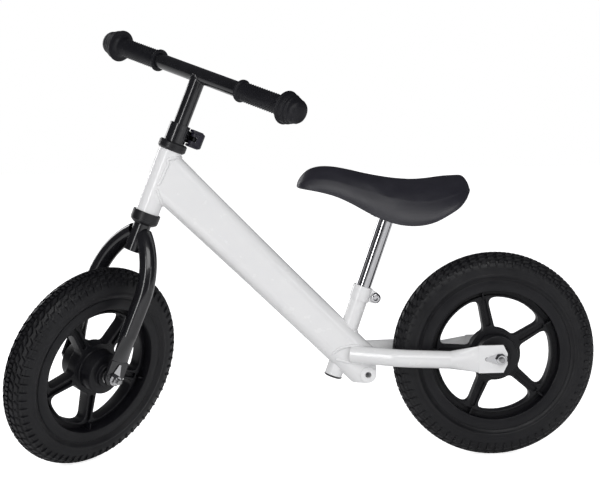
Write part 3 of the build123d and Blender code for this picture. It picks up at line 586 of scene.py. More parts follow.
def grown(name, mesh, tree, values):
    """The mesh that a Geometry Nodes tree makes from this one, with its named inputs set."""
    helper = bpy.data.objects.new(name, mesh)
    scene.collection.objects.link(helper)
    modifier = helper.modifiers.new("nodes", "NODES")
    modifier.node_group = tree
    sockets = [item for item in tree.interface.items_tree if item.in_out == "INPUT"]
    identifiers = {item.name: item.identifier for item in sockets}
    for label, value in values.items():
        modifier[identifiers[label]] = value
    result = evaluated_mesh(helper)
    result.name = name
    bpy.data.objects.remove(helper)
    return result


# %% [markdown]
# ## A tree that repeats a piece round an axis
# Tread blocks, sidewall bars, spoke ribs and grip studs are all one small shape repeated evenly round an
# axis. One tree serves them all: it makes as many points as asked for at the origin, puts a copy of the
# incoming shape on each, and turns each copy a step further.


# %% Build the repeat tree
def geometry_tree(name, inputs):
    """An empty Geometry Nodes tree with these inputs, and its two end nodes."""
    kinds = {int: "NodeSocketInt", float: "NodeSocketFloat", "material": "NodeSocketMaterial"}
    tree = bpy.data.node_groups.new(name, "GeometryNodeTree")
    tree.interface.new_socket("Geometry", in_out="INPUT", socket_type="NodeSocketGeometry")
    for label, kind in inputs.items():
        tree.interface.new_socket(label, in_out="INPUT", socket_type=kinds[kind])
    tree.interface.new_socket("Geometry", in_out="OUTPUT", socket_type="NodeSocketGeometry")
    return tree, add(tree, "NodeGroupInput"), add(tree, "NodeGroupOutput")


def finish_tree(tree, start, end, instances):
    """Realises the copies and gives them the material."""
    real = add(tree, "GeometryNodeRealizeInstances")
    paint = add(tree, "GeometryNodeSetMaterial")
    tree.links.new(instances, real.inputs["Geometry"])
    tree.links.new(real.outputs["Geometry"], paint.inputs["Geometry"])
    tree.links.new(start.outputs["Material"], paint.inputs["Material"])
    tree.links.new(paint.outputs["Geometry"], end.inputs["Geometry"])


def make_repeat_round():
    """Count points at the origin, each with a copy turned one step further."""
    tree, start, end = geometry_tree(
        "repeat_round", {"Count": int, "First turn": float, "Material": "material"}
    )
    points = add(tree, "GeometryNodePoints")
    copies = add(tree, "GeometryNodeInstanceOnPoints")
    index = add(tree, "GeometryNodeInputIndex")
    step = add(tree, "ShaderNodeMath", operation="DIVIDE")
    angle = add(tree, "ShaderNodeMath", operation="MULTIPLY_ADD")
    turn = add(tree, "ShaderNodeCombineXYZ")
    step.inputs[0].default_value = math.tau
    tree.links.new(start.outputs["Count"], points.inputs["Count"])
    tree.links.new(start.outputs["Count"], step.inputs[1])
    tree.links.new(index.outputs["Index"], angle.inputs[0])
    tree.links.new(step.outputs[0], angle.inputs[1])
    tree.links.new(start.outputs["First turn"], angle.inputs[2])
    tree.links.new(angle.outputs[0], turn.inputs["Z"])
    tree.links.new(points.outputs["Points"], copies.inputs["Points"])
    tree.links.new(start.outputs["Geometry"], copies.inputs["Instance"])
    tree.links.new(turn.outputs["Vector"], copies.inputs["Rotation"])
    finish_tree(tree, start, end, copies.outputs["Instances"])
    return tree


repeat_round = make_repeat_round()
print("tree", repeat_round.name)


def repeated_round(name, mesh, count, material, first_turn=0.0):
    """The mesh repeated round z, first at the first turn."""
    values = {"Count": count, "First turn": first_turn, "Material": material}
    return grown(name, mesh, repeat_round, values)


# %% [markdown]
# ## Foam tyres
# The real tyre is one block of foam moulded with small slanted knobs, a row of short bars where the
# tread meets the sidewall, and a raised ring low on the sidewall. The carcass is turned from its
# cross-section. The knobs of one pitch are built once and repeated round the wheel.

# %% Tyre sizes, in millimetres
tyre_radius = 150.0
shoulder_radius = 138.0
shoulder_half_width = 20.6
rim_radius = 112.0
crown_drop = tyre_radius - shoulder_radius
crown_radius = (crown_drop ** 2 + shoulder_half_width ** 2) / (2 * crown_drop)
knob_height = 3.0
knob_root_depth = 1.0
knob_slant = 1.2
middle_knob_half_width = 3.4
tread_pitches = 68
shoulder_bars = 68
shoulder_bar_half_width = 1.5
foot_depth = 13.0
foot_half_width = 16.5
print("crown radius", round(crown_radius, 2), "mm")


def crown_at(height):
    """The tread's outer radius at this distance from the wheel's middle plane."""
    return tyre_radius - crown_radius + math.sqrt(crown_radius ** 2 - height ** 2)


# %% The carcass
def carcass_side():
    """One side of the cross-section, from the rim's edge out to the tread's middle."""
    side = [(rim_radius - 0.6, 19.6), (rim_radius + 0.6, 20.3), (rim_radius + 2.4, 21.2)]
    side += [(115.6, 22.6), (116.6, 23.5), (118.0, 23.9), (119.6, 23.6), (120.8, 23.0)]
    side += [(123.0, 23.3), (127.0, 23.3), (131.0, 22.6), (134.6, 21.3), (137.4, 19.6)]
    for height in (18.5, 16.5, 13.5, 10.0, 6.0, 2.0):
        side.append((crown_at(height) - knob_height, height))
    return side


def carcass():
    """Both sides of the cross-section and the foot that sits in the rim, turned."""
    side = carcass_side()
    other = [(radius, -height) for radius, height in reversed(side)]
    foot = [(rim_radius - foot_depth, -foot_half_width), (rim_radius - foot_depth, foot_half_width)]
    return turned("carcass", side + other + foot, 240)


# %% The tread of one pitch
def knob(start_angle, end_angle, low, high, slant, inset=0.7):
    """A closed knob between two angles and two heights: wide at its root, narrower on top."""
    points = []
    for top in (False, True):
        tuck = inset if top else 0.0
        for height, sign in ((low + tuck, 1), (high - tuck, -1)):
            shift = slant * abs(height) / tyre_radius
            radius = crown_at(height)
            if not top:
                radius -= knob_height + knob_root_depth
            turn_in = tuck / tyre_radius
            ends = [start_angle + turn_in, end_angle - turn_in]
            for angle in (ends if sign > 0 else reversed(ends)):
                points.append(Vector((
                    radius * math.cos(angle + shift), radius * math.sin(angle + shift), height
                )) * millimetre)
    faces = [(0, 3, 2, 1), (4, 5, 6, 7), (0, 1, 5, 4), (1, 2, 6, 5), (2, 3, 7, 6), (3, 0, 4, 7)]
    mesh = mesh_from("knob", points, faces, smooth=False)
    weld_and_face_out(mesh)
    return mesh


def tread_pitch():
    """Two knobs on the middle line and three slanted ones on each side. Starts are shares of a pitch."""
    pitch = math.tau / tread_pitches
    half = middle_knob_half_width
    knobs = []
    for start, end in ((0.1, 0.48), (0.6, 0.98)):
        knobs.append(knob(start * pitch, end * pitch, -half, half, 0.0))
    for side in (-1, 1):
        for low, high, start in ((4.6, 10.2, 0.35), (11.4, 16.2, 0.85), (17.0, 20.4, 0.3)):
            span = (low, high) if side > 0 else (-high, -low)
            knobs.append(knob(start * pitch, (start + 0.7) * pitch, *span, knob_slant))
    return joined("tread_pitch", knobs)


def shoulder_bar(side):
    """A short radial bar on the edge between tread and sidewall."""
    half = shoulder_bar_half_width
    outline = [(131.0, 22.0), (131.4, 23.6), (135.0, 23.3), (138.6, 21.9), (141.2, 19.2), (137.0, 17.6)]
    points = []
    for across in (-half, half):
        for radius, height in outline:
            points.append(Vector((radius, across, side * height)) * millimetre)
    count = len(outline)
    faces = [tuple(range(count)), tuple(range(2 * count - 1, count - 1, -1))]
    for number in range(count):
        after = (number + 1) % count
        faces.append((number, number + count, after + count, after))
    mesh = mesh_from("bar", points, faces, smooth=False)
    weld_and_face_out(mesh)
    return mesh


# %% Both tyres
def tyre(name, place, body):
    """One whole tyre on its wheel's body."""
    rubber = paints["foam_tyre"]
    tread = repeated_round("tread", tread_pitch(), tread_pitches, rubber)
    bars = joined("bars", [shoulder_bar(-1), shoulder_bar(1)])
    bars = repeated_round("bars", bars, shoulder_bars, rubber)
    mesh = joined(name + "_foam_tyre", [carcass(), tread, bars], place)
    piece = new_piece(name + "_foam_tyre", mesh, rubber)
    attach(piece, body)
    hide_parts(name + "_tyre")
    print(piece.name, len(piece.data.polygons), "faces")
    return piece


tyre("rear", rear_wheel_place, "rear_wheel")
tyre("front", front_wheel_place, "front_wheel")

# %% [markdown]
# ## Moulded wheels
# Each wheel is one moulding: a ring that holds the tyre, a thinner disc with five round-cornered
# windows, grooved spokes and a hub with a flanged face. Flat plates with holes are what Blender's 2D
# curves do best: they fill around the holes and round every edge at once. The turned parts are made
# like the tyre, and the thin ribs behind the spokes are repeated by the same tree as the tread.

# %% Wheel sizes, in millimetres
spoke_count = 5
ring_half_width = 20.7
ring_inner_radius = 95.0
window_outer_radius = 84.5
window_inner_radius = 38.5
window_outer_corner = 13.0
window_inner_corner = 6.0
spoke_root_width = 19.0
spoke_tip_width = 13.5
spoke_half_depth = 9.0
groove_width = 7.0
groove_depth = 4.6
face_rounding = 0.9
floor_rounding = 0.6
floor_setback = 0.5
rib_half_thickness = 0.9
rib_half_height = 15.5
print("a window is", window_outer_radius - window_inner_radius, "mm deep")


# %% Flat outlines
def circle_line(radius, count=160):
    """A round outline."""
    angles = [number * math.tau / count for number in range(count)]
    return [(radius * math.cos(angle), radius * math.sin(angle)) for angle in angles]


def rounded(corners, radii, steps=8):
    """A closed outline with each corner replaced by a smooth bend of its own size."""
    line = []
    count = len(corners)
    for number in range(count):
        corner = Vector(corners[number])
        before = Vector(corners[number - 1]) - corner
        after = Vector(corners[(number + 1) % count]) - corner
        if radii[number] == 0:
            line.append(tuple(corner))
            continue
        start = corner + before.normalized() * radii[number]
        end = corner + after.normalized() * radii[number]
        for step in range(steps + 1):
            share = step / steps
            point = start * (1 - share) ** 2 + corner * 2 * share * (1 - share) + end * share ** 2
            line.append(tuple(point))
    return line


def window_line(grow=0.0):
    """The window between the spoke along +x and the next one."""
    step = math.tau / spoke_count
    half_root = spoke_root_width / 2 - grow
    half_tip = spoke_tip_width / 2 - grow
    outer = window_outer_radius + grow
    inner = window_inner_radius - grow
    slope = (half_tip - half_root) / window_outer_radius

    def side_angle(radius):
        return math.asin((half_root + slope * radius) / radius)

    def arc(radius, shares):
        first = side_angle(radius)
        angles = [first + (step - 2 * first) * share for share in shares]
        return [(radius * math.cos(angle), radius * math.sin(angle)) for angle in angles]

    outer_shares = [0.0] + [number / 12 for number in range(2, 11)] + [1.0]
    inner_shares = [1.0, 0.75, 0.5, 0.25, 0.0]
    radii = [window_outer_corner] + [0.0] * (len(outer_shares) - 2) + [window_outer_corner]
    radii += [window_inner_corner] + [0.0] * (len(inner_shares) - 2) + [window_inner_corner]
    return rounded(arc(outer, outer_shares) + arc(inner, inner_shares), radii)


def groove_line():
    """The rounded slot down the face of the spoke along +x."""
    start = window_inner_radius + 4.0
    end = window_outer_radius - 1.0
    half = groove_width / 2
    return rounded([(start, -half), (end, -half), (end, half), (start, half)], [half * 0.9] * 4, 5)


def turned_line(line, angle):
    """An outline turned about the wheel's middle."""
    cosine = math.cos(angle)
    sine = math.sin(angle)
    return [(x * cosine - y * sine, x * sine + y * cosine) for x, y in line]


# %% Plates from curves
def plate(name, outer, holes, half_depth, edge):
    """A flat plate with holes and rounded edges, centred on z = 0."""
    curve = bpy.data.curves.new(name, "CURVE")
    curve.dimensions = "2D"
    curve.fill_mode = "BOTH"
    curve.bevel_depth = edge * millimetre
    curve.bevel_resolution = 2
    curve.extrude = (half_depth - edge) * millimetre
    curve.offset = -edge * millimetre
    for line in [outer] + holes:
        spline = curve.splines.new("POLY")
        spline.points.add(len(line) - 1)
        spline.use_cyclic_u = True
        for point, (x, y) in zip(spline.points, line):
            point.co = (x * millimetre, y * millimetre, 0, 1)
    helper = bpy.data.objects.new(name, curve)
    scene.collection.objects.link(helper)
    mesh = evaluated_mesh(helper)
    bpy.data.objects.remove(helper)
    weld_and_face_out(mesh)
    return mesh


# %% The parts of one wheel
def wheel_disc(first_angle):
    """The spokes: grooved faces over a thinner floor, both with windows."""
    step = math.tau / spoke_count
    angles = [first_angle + number * step for number in range(spoke_count)]
    face_edge = circle_line(window_outer_radius + 3.0)
    floor_edge = circle_line(ring_inner_radius + 2)
    windows = [turned_line(window_line(), angle) for angle in angles]
    wide_windows = [turned_line(window_line(floor_setback), angle) for angle in angles]
    grooves = [turned_line(groove_line(), angle) for angle in angles]
    faces = plate("spoke_faces", face_edge, windows + grooves, spoke_half_depth, face_rounding)
    floor_half_depth = spoke_half_depth - groove_depth
    floors = plate("spoke_floors", floor_edge, wide_windows, floor_half_depth, floor_rounding)
    return [faces, floors]


def wheel_ring():
    """The ring that holds the tyre."""
    half = ring_half_width
    side = [
        (ring_inner_radius, half - 1.4), (ring_inner_radius + 0.4, half - 0.5),
        (ring_inner_radius + 1.4, half), (rim_radius - 3.0, half), (rim_radius - 1.6, half - 0.5),
        (rim_radius - 0.8, half - 1.6), (rim_radius - 0.8, half - 4.0),
    ]
    other = [(radius, -height) for radius, height in reversed(side)]
    return turned("wheel_ring", side + other, 240)


def wheel_hub():
    """A collar between the spokes, a drum on each side and the ring round each bearing."""
    half_hub = [
        (33.0, 0.0), (38.0, 4.0), (38.4, 8.4), (38.0, 9.2), (31.4, 9.6), (30.6, 10.4), (30.2, 30.8),
        (29.9, 31.6), (29.2, 32.0), (18.2, 32.0), (17.6, 32.6), (17.4, 37.6), (16.7, 38.4),
        (11.4, 38.4), (11.2, 37.8), (11.2, 31.0), (9.0, 31.0),
    ]
    other = [(radius, -height) for radius, height in reversed(half_hub[1:])]
    return turned("wheel_hub", half_hub + other, 128)


def thin_rib():
    """The web behind the end of a spoke, between the windows' ring and the tyre's ring."""
    points = []
    for x in (window_outer_radius + 0.5, ring_inner_radius + 1.0):
        for y in (-rib_half_thickness, rib_half_thickness):
            for z in (-rib_half_height, rib_half_height):
                points.append(Vector((x, y, z)) * millimetre)
    faces = [(0, 1, 3, 2), (4, 6, 7, 5), (0, 4, 5, 1), (2, 3, 7, 6), (0, 2, 6, 4), (1, 5, 7, 3)]
    mesh = mesh_from("rib", points, faces, smooth=False)
    weld_and_face_out(mesh)
    return mesh


# %% Both wheels
rear_spoke_angle = math.radians(30.0)
front_spoke_angle = math.radians(53.0)


def wheel(name, place, body, first_angle):
    """One whole moulded wheel on its body."""
    plastic = paints["black_plastic"]
    ribs = repeated_round("ribs", thin_rib(), spoke_count, plastic, first_angle)
    parts = wheel_disc(first_angle) + [wheel_ring(), wheel_hub(), ribs]
    mesh = joined(name + "_moulded_wheel", parts)
    sharp_above(mesh, 32)
    mesh.transform(place)
    piece = new_piece(name + "_moulded_wheel", mesh, plastic)
    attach(piece, body)
    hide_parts(name + "_wheel")
    print(piece.name, len(mesh.polygons), "faces")
    return piece


wheel("rear", rear_wheel_place, "rear_wheel", rear_spoke_angle)
wheel("front", front_wheel_place, "front_wheel", front_spoke_angle)

# %% [markdown]
# ## Rubber grips
# Each grip has a small flange towards the stem, a barrel covered in rows of little studs and a round
# guard at the bar's end that steps down in rings to a rounded button. The outline is turned. The studs
# are one row of low pyramids repeated round the barrel.

# %% Grip sizes, in millimetres from the middle of the bar
grip_start = 85.0
grip_end = 203.0
barrel_radius = 13.4
stud_rows = 30
studs_per_row = 22
stud_height = 0.95
stud_root_depth = 0.3
stud_turn_share = 0.32
stud_length_share = 0.36
first_stud = grip_start + 9.0
last_stud = grip_end - 44.0
print("studs on a grip:", stud_rows * studs_per_row)


def grip_outline():
    """From the bar's surface at the flange, over the barrel and the guard, to the button's middle."""
    start = grip_start
    end = grip_end
    return [
        (11.15, start), (15.2, start), (16.0, start + 0.5), (16.2, start + 1.4), (16.2, start + 2.8),
        (15.8, start + 3.6), (14.6, start + 4.2), (13.6, start + 5.0), (barrel_radius, start + 6.0),
        (barrel_radius, end - 36.0), (14.0, end - 33.6), (15.8, end - 31.8), (18.8, end - 30.9),
        (22.3, end - 30.5), (23.2, end - 30.2), (23.5, end - 29.5), (23.5, end - 28.5), (23.1, end - 27.8),
        (22.0, end - 27.4), (21.4, end - 27.0), (21.2, end - 26.3), (21.3, end - 20.9), (20.8, end - 20.0),
        (19.5, end - 19.7), (19.0, end - 19.2), (18.9, end - 18.6), (19.1, end - 15.2), (18.6, end - 14.4),
        (17.8, end - 14.1), (17.4, end - 13.5), (17.4, end - 10.4), (16.7, end - 7.0), (15.0, end - 4.0),
        (12.0, end - 1.7), (7.6, end - 0.5), (2.5, end), (0.02, end), (0.02, end - 6.6), (11.15, end - 6.6),
    ]


def stud_row():
    """One row of studs along the barrel. Every second stud sits half a step further round."""
    spacing = (last_stud - first_stud) / (stud_rows - 1)
    round_step = math.tau / studs_per_row
    low = barrel_radius - stud_root_depth
    high = barrel_radius + stud_height
    half_turn = stud_turn_share * round_step
    half = stud_length_share * spacing
    points = []
    faces = []
    for number in range(stud_rows):
        height = first_stud + spacing * number
        middle = (number % 2) * 0.5 * round_step
        base = len(points)
        for angle, z in ((-half_turn, 0), (0, -half), (half_turn, 0), (0, half)):
            points.append(Vector((
                low * math.cos(middle + angle), low * math.sin(middle + angle), height + z
            )) * millimetre)
        points.append(Vector((high * math.cos(middle), high * math.sin(middle), height)) * millimetre)
        faces += [(base + 3, base + 2, base + 1, base)]
        faces += [(base + n, base + (n + 1) % 4, base + 4) for n in range(4)]
    mesh = mesh_from("stud_row", points, faces, smooth=False)
    weld_and_face_out(mesh, 0.000001)
    return mesh


# %% Both grips
bar_height = 446.0


def grip(name, side):
    """side is -1 for the left grip and 1 for the right."""
    rubber = paints["grip_rubber"]
    along = steering_side * side
    across = steering_up.cross(along)
    place = place_of(steering_foot + steering_up * bar_height * millimetre, steering_up, -across, along)
    if place.determinant() < 0:
        place = place_of(place.translation, steering_up, across, along)
    body = turned("grip_body", grip_outline(), 96)
    studs = repeated_round("studs", stud_row(), studs_per_row, rubber)
    mesh = joined(name, [body, studs], place)
    sharp_above(mesh, 40)
    piece = new_piece(name, mesh, rubber)
    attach(piece, "handlebar")
    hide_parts("grip_left" if side < 0 else "grip_right")
    print(name, len(mesh.polygons), "faces")
    return piece


grip("left_ribbed_grip", -1)
grip("right_ribbed_grip", 1)

# %% [markdown]
# ## Weld beads
# The tubes of the frame and fork are joined by arc welds, whose little overlapping ripples still show
# under the paint. A bead follows the line where one tube meets another: points on the first tube's
# skin slide along it until they touch the second. A second tree then lays ripples along that line.


# %% The tree that lays a bead
def make_lay_bead():
    """Small balls of slightly uneven size set close together along a line."""
    tree, start, end = geometry_tree(
        "lay_bead",
        {"Pitch": float, "Radius": float, "Unevenness": float, "Seed": int, "Material": "material"},
    )
    path = add(tree, "GeometryNodeMeshToCurve")
    spread = add(tree, "GeometryNodeResampleCurve", mode="LENGTH")
    ripple = add(tree, "GeometryNodeMeshIcoSphere")
    ripple.inputs["Subdivisions"].default_value = 2
    copies = add(tree, "GeometryNodeInstanceOnPoints")
    wobble = add(tree, "FunctionNodeRandomValue", data_type="FLOAT")
    least = add(tree, "ShaderNodeMath", operation="SUBTRACT")
    most = add(tree, "ShaderNodeMath", operation="ADD")
    least.inputs[0].default_value = 1.0
    most.inputs[0].default_value = 1.0
    tree.links.new(start.outputs["Geometry"], path.inputs["Mesh"])
    tree.links.new(path.outputs["Curve"], spread.inputs["Curve"])
    tree.links.new(start.outputs["Pitch"], spread.inputs["Length"])
    tree.links.new(start.outputs["Radius"], ripple.inputs["Radius"])
    tree.links.new(start.outputs["Unevenness"], least.inputs[1])
    tree.links.new(start.outputs["Unevenness"], most.inputs[1])
    tree.links.new(least.outputs[0], wobble.inputs[2])
    tree.links.new(most.outputs[0], wobble.inputs[3])
    tree.links.new(start.outputs["Seed"], wobble.inputs["Seed"])
    tree.links.new(spread.outputs["Curve"], copies.inputs["Points"])
    tree.links.new(ripple.outputs["Mesh"], copies.inputs["Instance"])
    tree.links.new(wobble.outputs[1], copies.inputs["Scale"])
    finish_tree(tree, start, end, copies.outputs["Instances"])
    return tree


lay_bead = make_lay_bead()
print("tree", lay_bead.name)


# %% Where tubes meet
def skin_of(node):
    """A node's surface, ready to be hit by rays."""
    mesh = nodes[node].data
    points = [vertex.co.copy() for vertex in mesh.vertices]
    return BVHTree.FromPolygons(points, [tuple(polygon.vertices) for polygon in mesh.polygons])


def meeting_line(origin, along, radius, target, start, reach_out, count=72):
    """Points on a round tube's skin, slid along the tube until they touch the other node."""
    along = Vector(along).normalized()
    across = along.orthogonal().normalized()
    beside = along.cross(across)
    skin = skin_of(target)
    line = []
    for number in range(count):
        angle = number * math.tau / count
        outward = across * math.cos(angle) + beside * math.sin(angle)
        foot = Vector(origin) + outward * radius + along * start
        line.append(skin.ray_cast(foot, along, reach_out)[0])
    return line


widest_gap = 12 * millimetre
ripple_spacing = 0.62
ripple_unevenness = 0.07
melt_share = 0.3


def bead(name, line, radius, body, material, seed):
    """A welded bead along a closed line. Places where the tubes miss each other are left out."""
    points = []
    edges = []
    for number, point in enumerate(line):
        if point is None:
            continue
        points.append(point)
        following = line[(number + 1) % len(line)]
        if following is not None and (following - point).length < widest_gap:
            edges.append((len(points) - 1, 0 if number == len(line) - 1 else len(points)))
    path = bpy.data.meshes.new(name)
    path.from_pydata(points, edges, [])
    mesh = grown(name, path, lay_bead, {
        "Pitch": ripple_spacing * radius, "Radius": radius, "Unevenness": ripple_unevenness,
        "Seed": seed, "Material": material,
    })
    mesh.polygons.foreach_set("use_smooth", [True] * len(mesh.polygons))
    piece = new_piece(name, mesh, material)
    melt = piece.modifiers.new("melt", "REMESH")
    melt.mode = "VOXEL"
    melt.voxel_size = melt_share * radius
    melt.use_smooth_shade = True
    settle = piece.modifiers.new("settle", "SMOOTH")
    settle.iterations = 3
    solid = evaluated_mesh(piece)
    piece.modifiers.clear()
    piece.data = solid
    dress(piece, material)
    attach(piece, body)
    print(name, len(points), "points on the line,", len(solid.polygons), "faces")
    return piece


# %% Lay the beads
tube_radius = 12.7 * millimetre
weld_radius = 2.3 * millimetre
seat_line = meeting_line(seat_place.translation, -seat_up, tube_radius, "main_tube", 0.02, 0.4)
bead("seat_tube_weld", seat_line, weld_radius, "frame", paints["white_paint"], 1)

main_tube_joint = 297.5 * millimetre
main_tube_slope = math.radians(44.9)
down_the_tube = Vector((math.cos(main_tube_slope), 0, -math.sin(main_tube_slope)))
main_tube_top = steering_foot + steering_up * main_tube_joint
clear_of_head_tube = 0.06
taper_span = 0.03
ray_reach = 0.08


def head_tube_line(count=320):
    """Points on the main tube's skin, slid up along its taper until they touch the head tube."""
    tube = skin_of("main_tube")
    head = skin_of("head_tube")
    middle = main_tube_top + down_the_tube * clear_of_head_tube
    lower = middle + down_the_tube * taper_span
    side = Vector((0, 1, 0))
    upright = down_the_tube.cross(side)
    line = []
    for number in range(count):
        angle = number * math.tau / count
        outward = side * math.cos(angle) + upright * math.sin(angle)
        foot = tube.ray_cast(middle + outward * ray_reach, -outward, ray_reach)[0]
        further = tube.ray_cast(lower + outward * ray_reach, -outward, ray_reach)[0]
        line.append(head.ray_cast(foot, foot - further, ray_reach)[0])
    return line


bead("head_tube_weld", head_tube_line(), weld_radius, "frame", paints["white_paint"], 2)

# %% The beads of the stays and the stem
stay_bend = Vector((rear_centre.x - 0.143, 0.0465, 0.15375))
stay_root = Vector((rear_centre.x - 0.212, 0.018, 0.1575))
for side, name in ((-1, "left"), (1, "right")):
    bend = Vector((stay_bend.x, side * stay_bend.y, stay_bend.z))
    root = Vector((stay_root.x, side * stay_root.y, stay_root.z))
    stay_line = meeting_line(bend, root - bend, tube_radius, "main_tube", 0.015, 0.1)
    bead(name + "_stay_weld", stay_line, weld_radius, "frame", paints["white_paint"], 3 + side)

stem_radius = 11.1 * millimetre
stem_weld_radius = 1.8 * millimetre
stem_foot = steering_foot + steering_up * 410 * millimetre
stem_line = meeting_line(stem_foot, steering_up, stem_radius, "handlebar_tube", 0.0, 0.06)
bead("stem_weld", stem_line, stem_weld_radius, "handlebar", paints["black_paint"], 6)

# %% [markdown]
# ## The seat clamp's bolt
# The bolt that squeezes the clamp has a domed chrome head with a six-sided socket. It is turned ring by
# ring like the other round pieces, but the rings inside the socket follow a hexagon instead of a circle.

# %% The domed bolt
clamp_bolt_middle = middle_of("seat_clamp_bolt")
bolt_low, bolt_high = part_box("seat_clamp_bolt")
socket_half_flat = 2.5
socket_depth = 3.4


def hexagon_radius(angle):
    """How far the socket's wall is from its middle in this direction."""
    sixth = math.pi / 3
    return socket_half_flat / math.cos(angle % sixth - sixth / 2)


def domed_bolt(length):
    """Along z: from the thread's end at zero, over the dome and down into the socket."""
    count = 48
    outside = [
        (0.01, 0.0), (2.5, 0.0), (3.0, 0.5), (3.0, length - 6.0), (7.2, length - 6.0),
        (7.7, length - 5.5), (7.75, length - 3.4), (7.3, length - 2.0), (6.2, length - 0.8),
        (4.9, length - 0.15), (3.6, length),
    ]
    rings = [(radius, height, False) for radius, height in outside]
    rings += [(0.0, length - depth, True) for depth in (0.2, 0.6, socket_depth)]
    rings.append((0.01, length - socket_depth, False))
    points = []
    for radius, height, in_socket in rings:
        for number in range(count):
            angle = math.tau * number / count
            reach = hexagon_radius(angle) if in_socket else radius
            points.append(Vector((reach * math.cos(angle), reach * math.sin(angle), height)) * millimetre)
    mesh = mesh_from("domed_bolt", points, grid_faces(len(rings), count))
    weld_and_face_out(mesh)
    return mesh


bolt_length = (bolt_high.y - bolt_low.y) / millimetre
bolt_foot = Vector((clamp_bolt_middle.x, bolt_high.y, clamp_bolt_middle.z))
bolt_place = place_of(bolt_foot, Vector((1, 0, 0)), Vector((0, 0, 1)), Vector((0, -1, 0)))
bolt_mesh = domed_bolt(bolt_length)
bolt_mesh.transform(bolt_place)
sharp_above(bolt_mesh, 40)
bolt = new_piece("clamp_bolt", bolt_mesh, paints["chrome"])
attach(bolt, "frame")
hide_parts("seat_clamp_bolt")
print("bolt", len(bolt_mesh.polygons), "faces")

# %% [markdown]
# ## The quick-release lever
# The lever is a thick curved paddle on a two-armed cam, with room between the arms for the skewer's eye.
# The paddle is drawn as one smooth outline seen along its pin, given its height, narrowed towards the
# tip and bevelled. Nothing ahead of the pin is further out than the cam, so the lever swings freely.

# %% The paddle
lever_pin_x = 21.0
lever_pin_y = -15.5
lever_middle = 358.25
lever_root_height = 25.0
lever_tip_height = 17.0
lever_root_x = -2.2
lever_reach = 18.6


def passing_through(p0, p1, p2, p3, t):
    """A Catmull-Rom curve's value between p1 and p2, for numbers or for vectors."""
    return 0.5 * (
        2 * p1 + (p2 - p0) * t + (2 * p0 - 5 * p1 + 4 * p2 - p3) * t ** 2
        + (3 * p1 - 3 * p2 + p3 - p0) * t ** 3
    )


def smooth_line(points, steps):
    """A closed curve through the given points."""
    line = []
    count = len(points)
    for number in range(count):
        near = [Vector(points[(number + shift) % count]) for shift in (-1, 0, 1, 2)]
        line += [passing_through(*near, step / steps) for step in range(steps)]
    return line


def lever_outline():
    """The paddle seen along its pin, around the pin, going round from its front edge."""
    outer = [(-2.2, -6.4), (-0.4, -8.6), (3.6, -9.7), (8.0, -9.0), (12.4, -6.0), (16.4, -1.0)]
    inner = [(15.4, 1.4), (11.4, -2.4), (7.4, -4.8), (3.0, -5.5), (-0.4, -5.3)]
    return smooth_line(outer + inner, 5)


def lever_half_height(x):
    """Half the paddle's height, which falls slowly from its root to its tip."""
    share = max(0.0, (x - lever_root_x) / lever_reach)
    return (lever_root_height + (lever_tip_height - lever_root_height) * share ** 1.6) / 2


def lever_paddle():
    """The outline stacked level by level, drawn in a little at the top and bottom to round the edges."""
    line = lever_outline()
    count = len(line)
    levels = (-1.0, -0.97, -0.9, -0.45, 0.0, 0.45, 0.9, 0.97, 1.0)
    insets = (0.85, 0.25, 0.0, 0.0, 0.0, 0.0, 0.0, 0.25, 0.85)
    points = []
    for level, inset in zip(levels, insets):
        for number, (x, y) in enumerate(line):
            ahead = line[(number + 1) % count] - line[number - 1]
            outward = Vector((ahead.y, -ahead.x)).normalized()
            x_in, y_in = Vector((x, y)) - outward * inset
            points.append(Vector((x_in, y_in, level * lever_half_height(x))) * millimetre)
    faces = grid_faces(len(levels), count, closed=False)
    last = (len(levels) - 1) * count
    faces += [tuple(reversed(range(count))), tuple(last + number for number in range(count))]
    mesh = mesh_from("paddle", points, faces)
    weld_and_face_out(mesh)
    return mesh


# %% The cam's two arms, and the whole lever
cam_arm = [
    (2.1, 3.4), (7.1, 3.4), (7.1, 8.6), (9.4, 8.8), (9.8, 9.3), (9.8, 11.6), (9.4, 12.2), (8.6, 12.5),
    (2.1, 12.5),
]
cam = joined("cam", [
    turned("cam_top", cam_arm, 64),
    turned("cam_low", [(radius, -height) for radius, height in reversed(cam_arm)], 64),
])
lever_pin = Vector((lever_pin_x, lever_pin_y, lever_middle)) * millimetre
lever_place = steering_place @ Matrix.Translation(lever_pin)
lever_mesh = joined("release_lever", [lever_paddle(), cam], lever_place)
sharp_above(lever_mesh, 50)
lever = new_piece("release_lever", lever_mesh, paints["lever_plastic"])
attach(lever, "clamp_lever")
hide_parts("clamp_lever")
print("lever", len(lever_mesh.polygons), "faces")

# %% [markdown]
# ## The padded saddle
# The saddle is foam under a stretched vinyl skin: a soft crown on top, a rounded ridge that falls
# towards the tail on each side, smooth flanks that pull in, and a lip turned under round the base. The
# skin is lofted through stations from nose to tail a little small, then cloth with a gentle pressure
# swells it, while the lip and the pocket over the base stay pinned. No point may move far, so it keeps
# its place over the base.

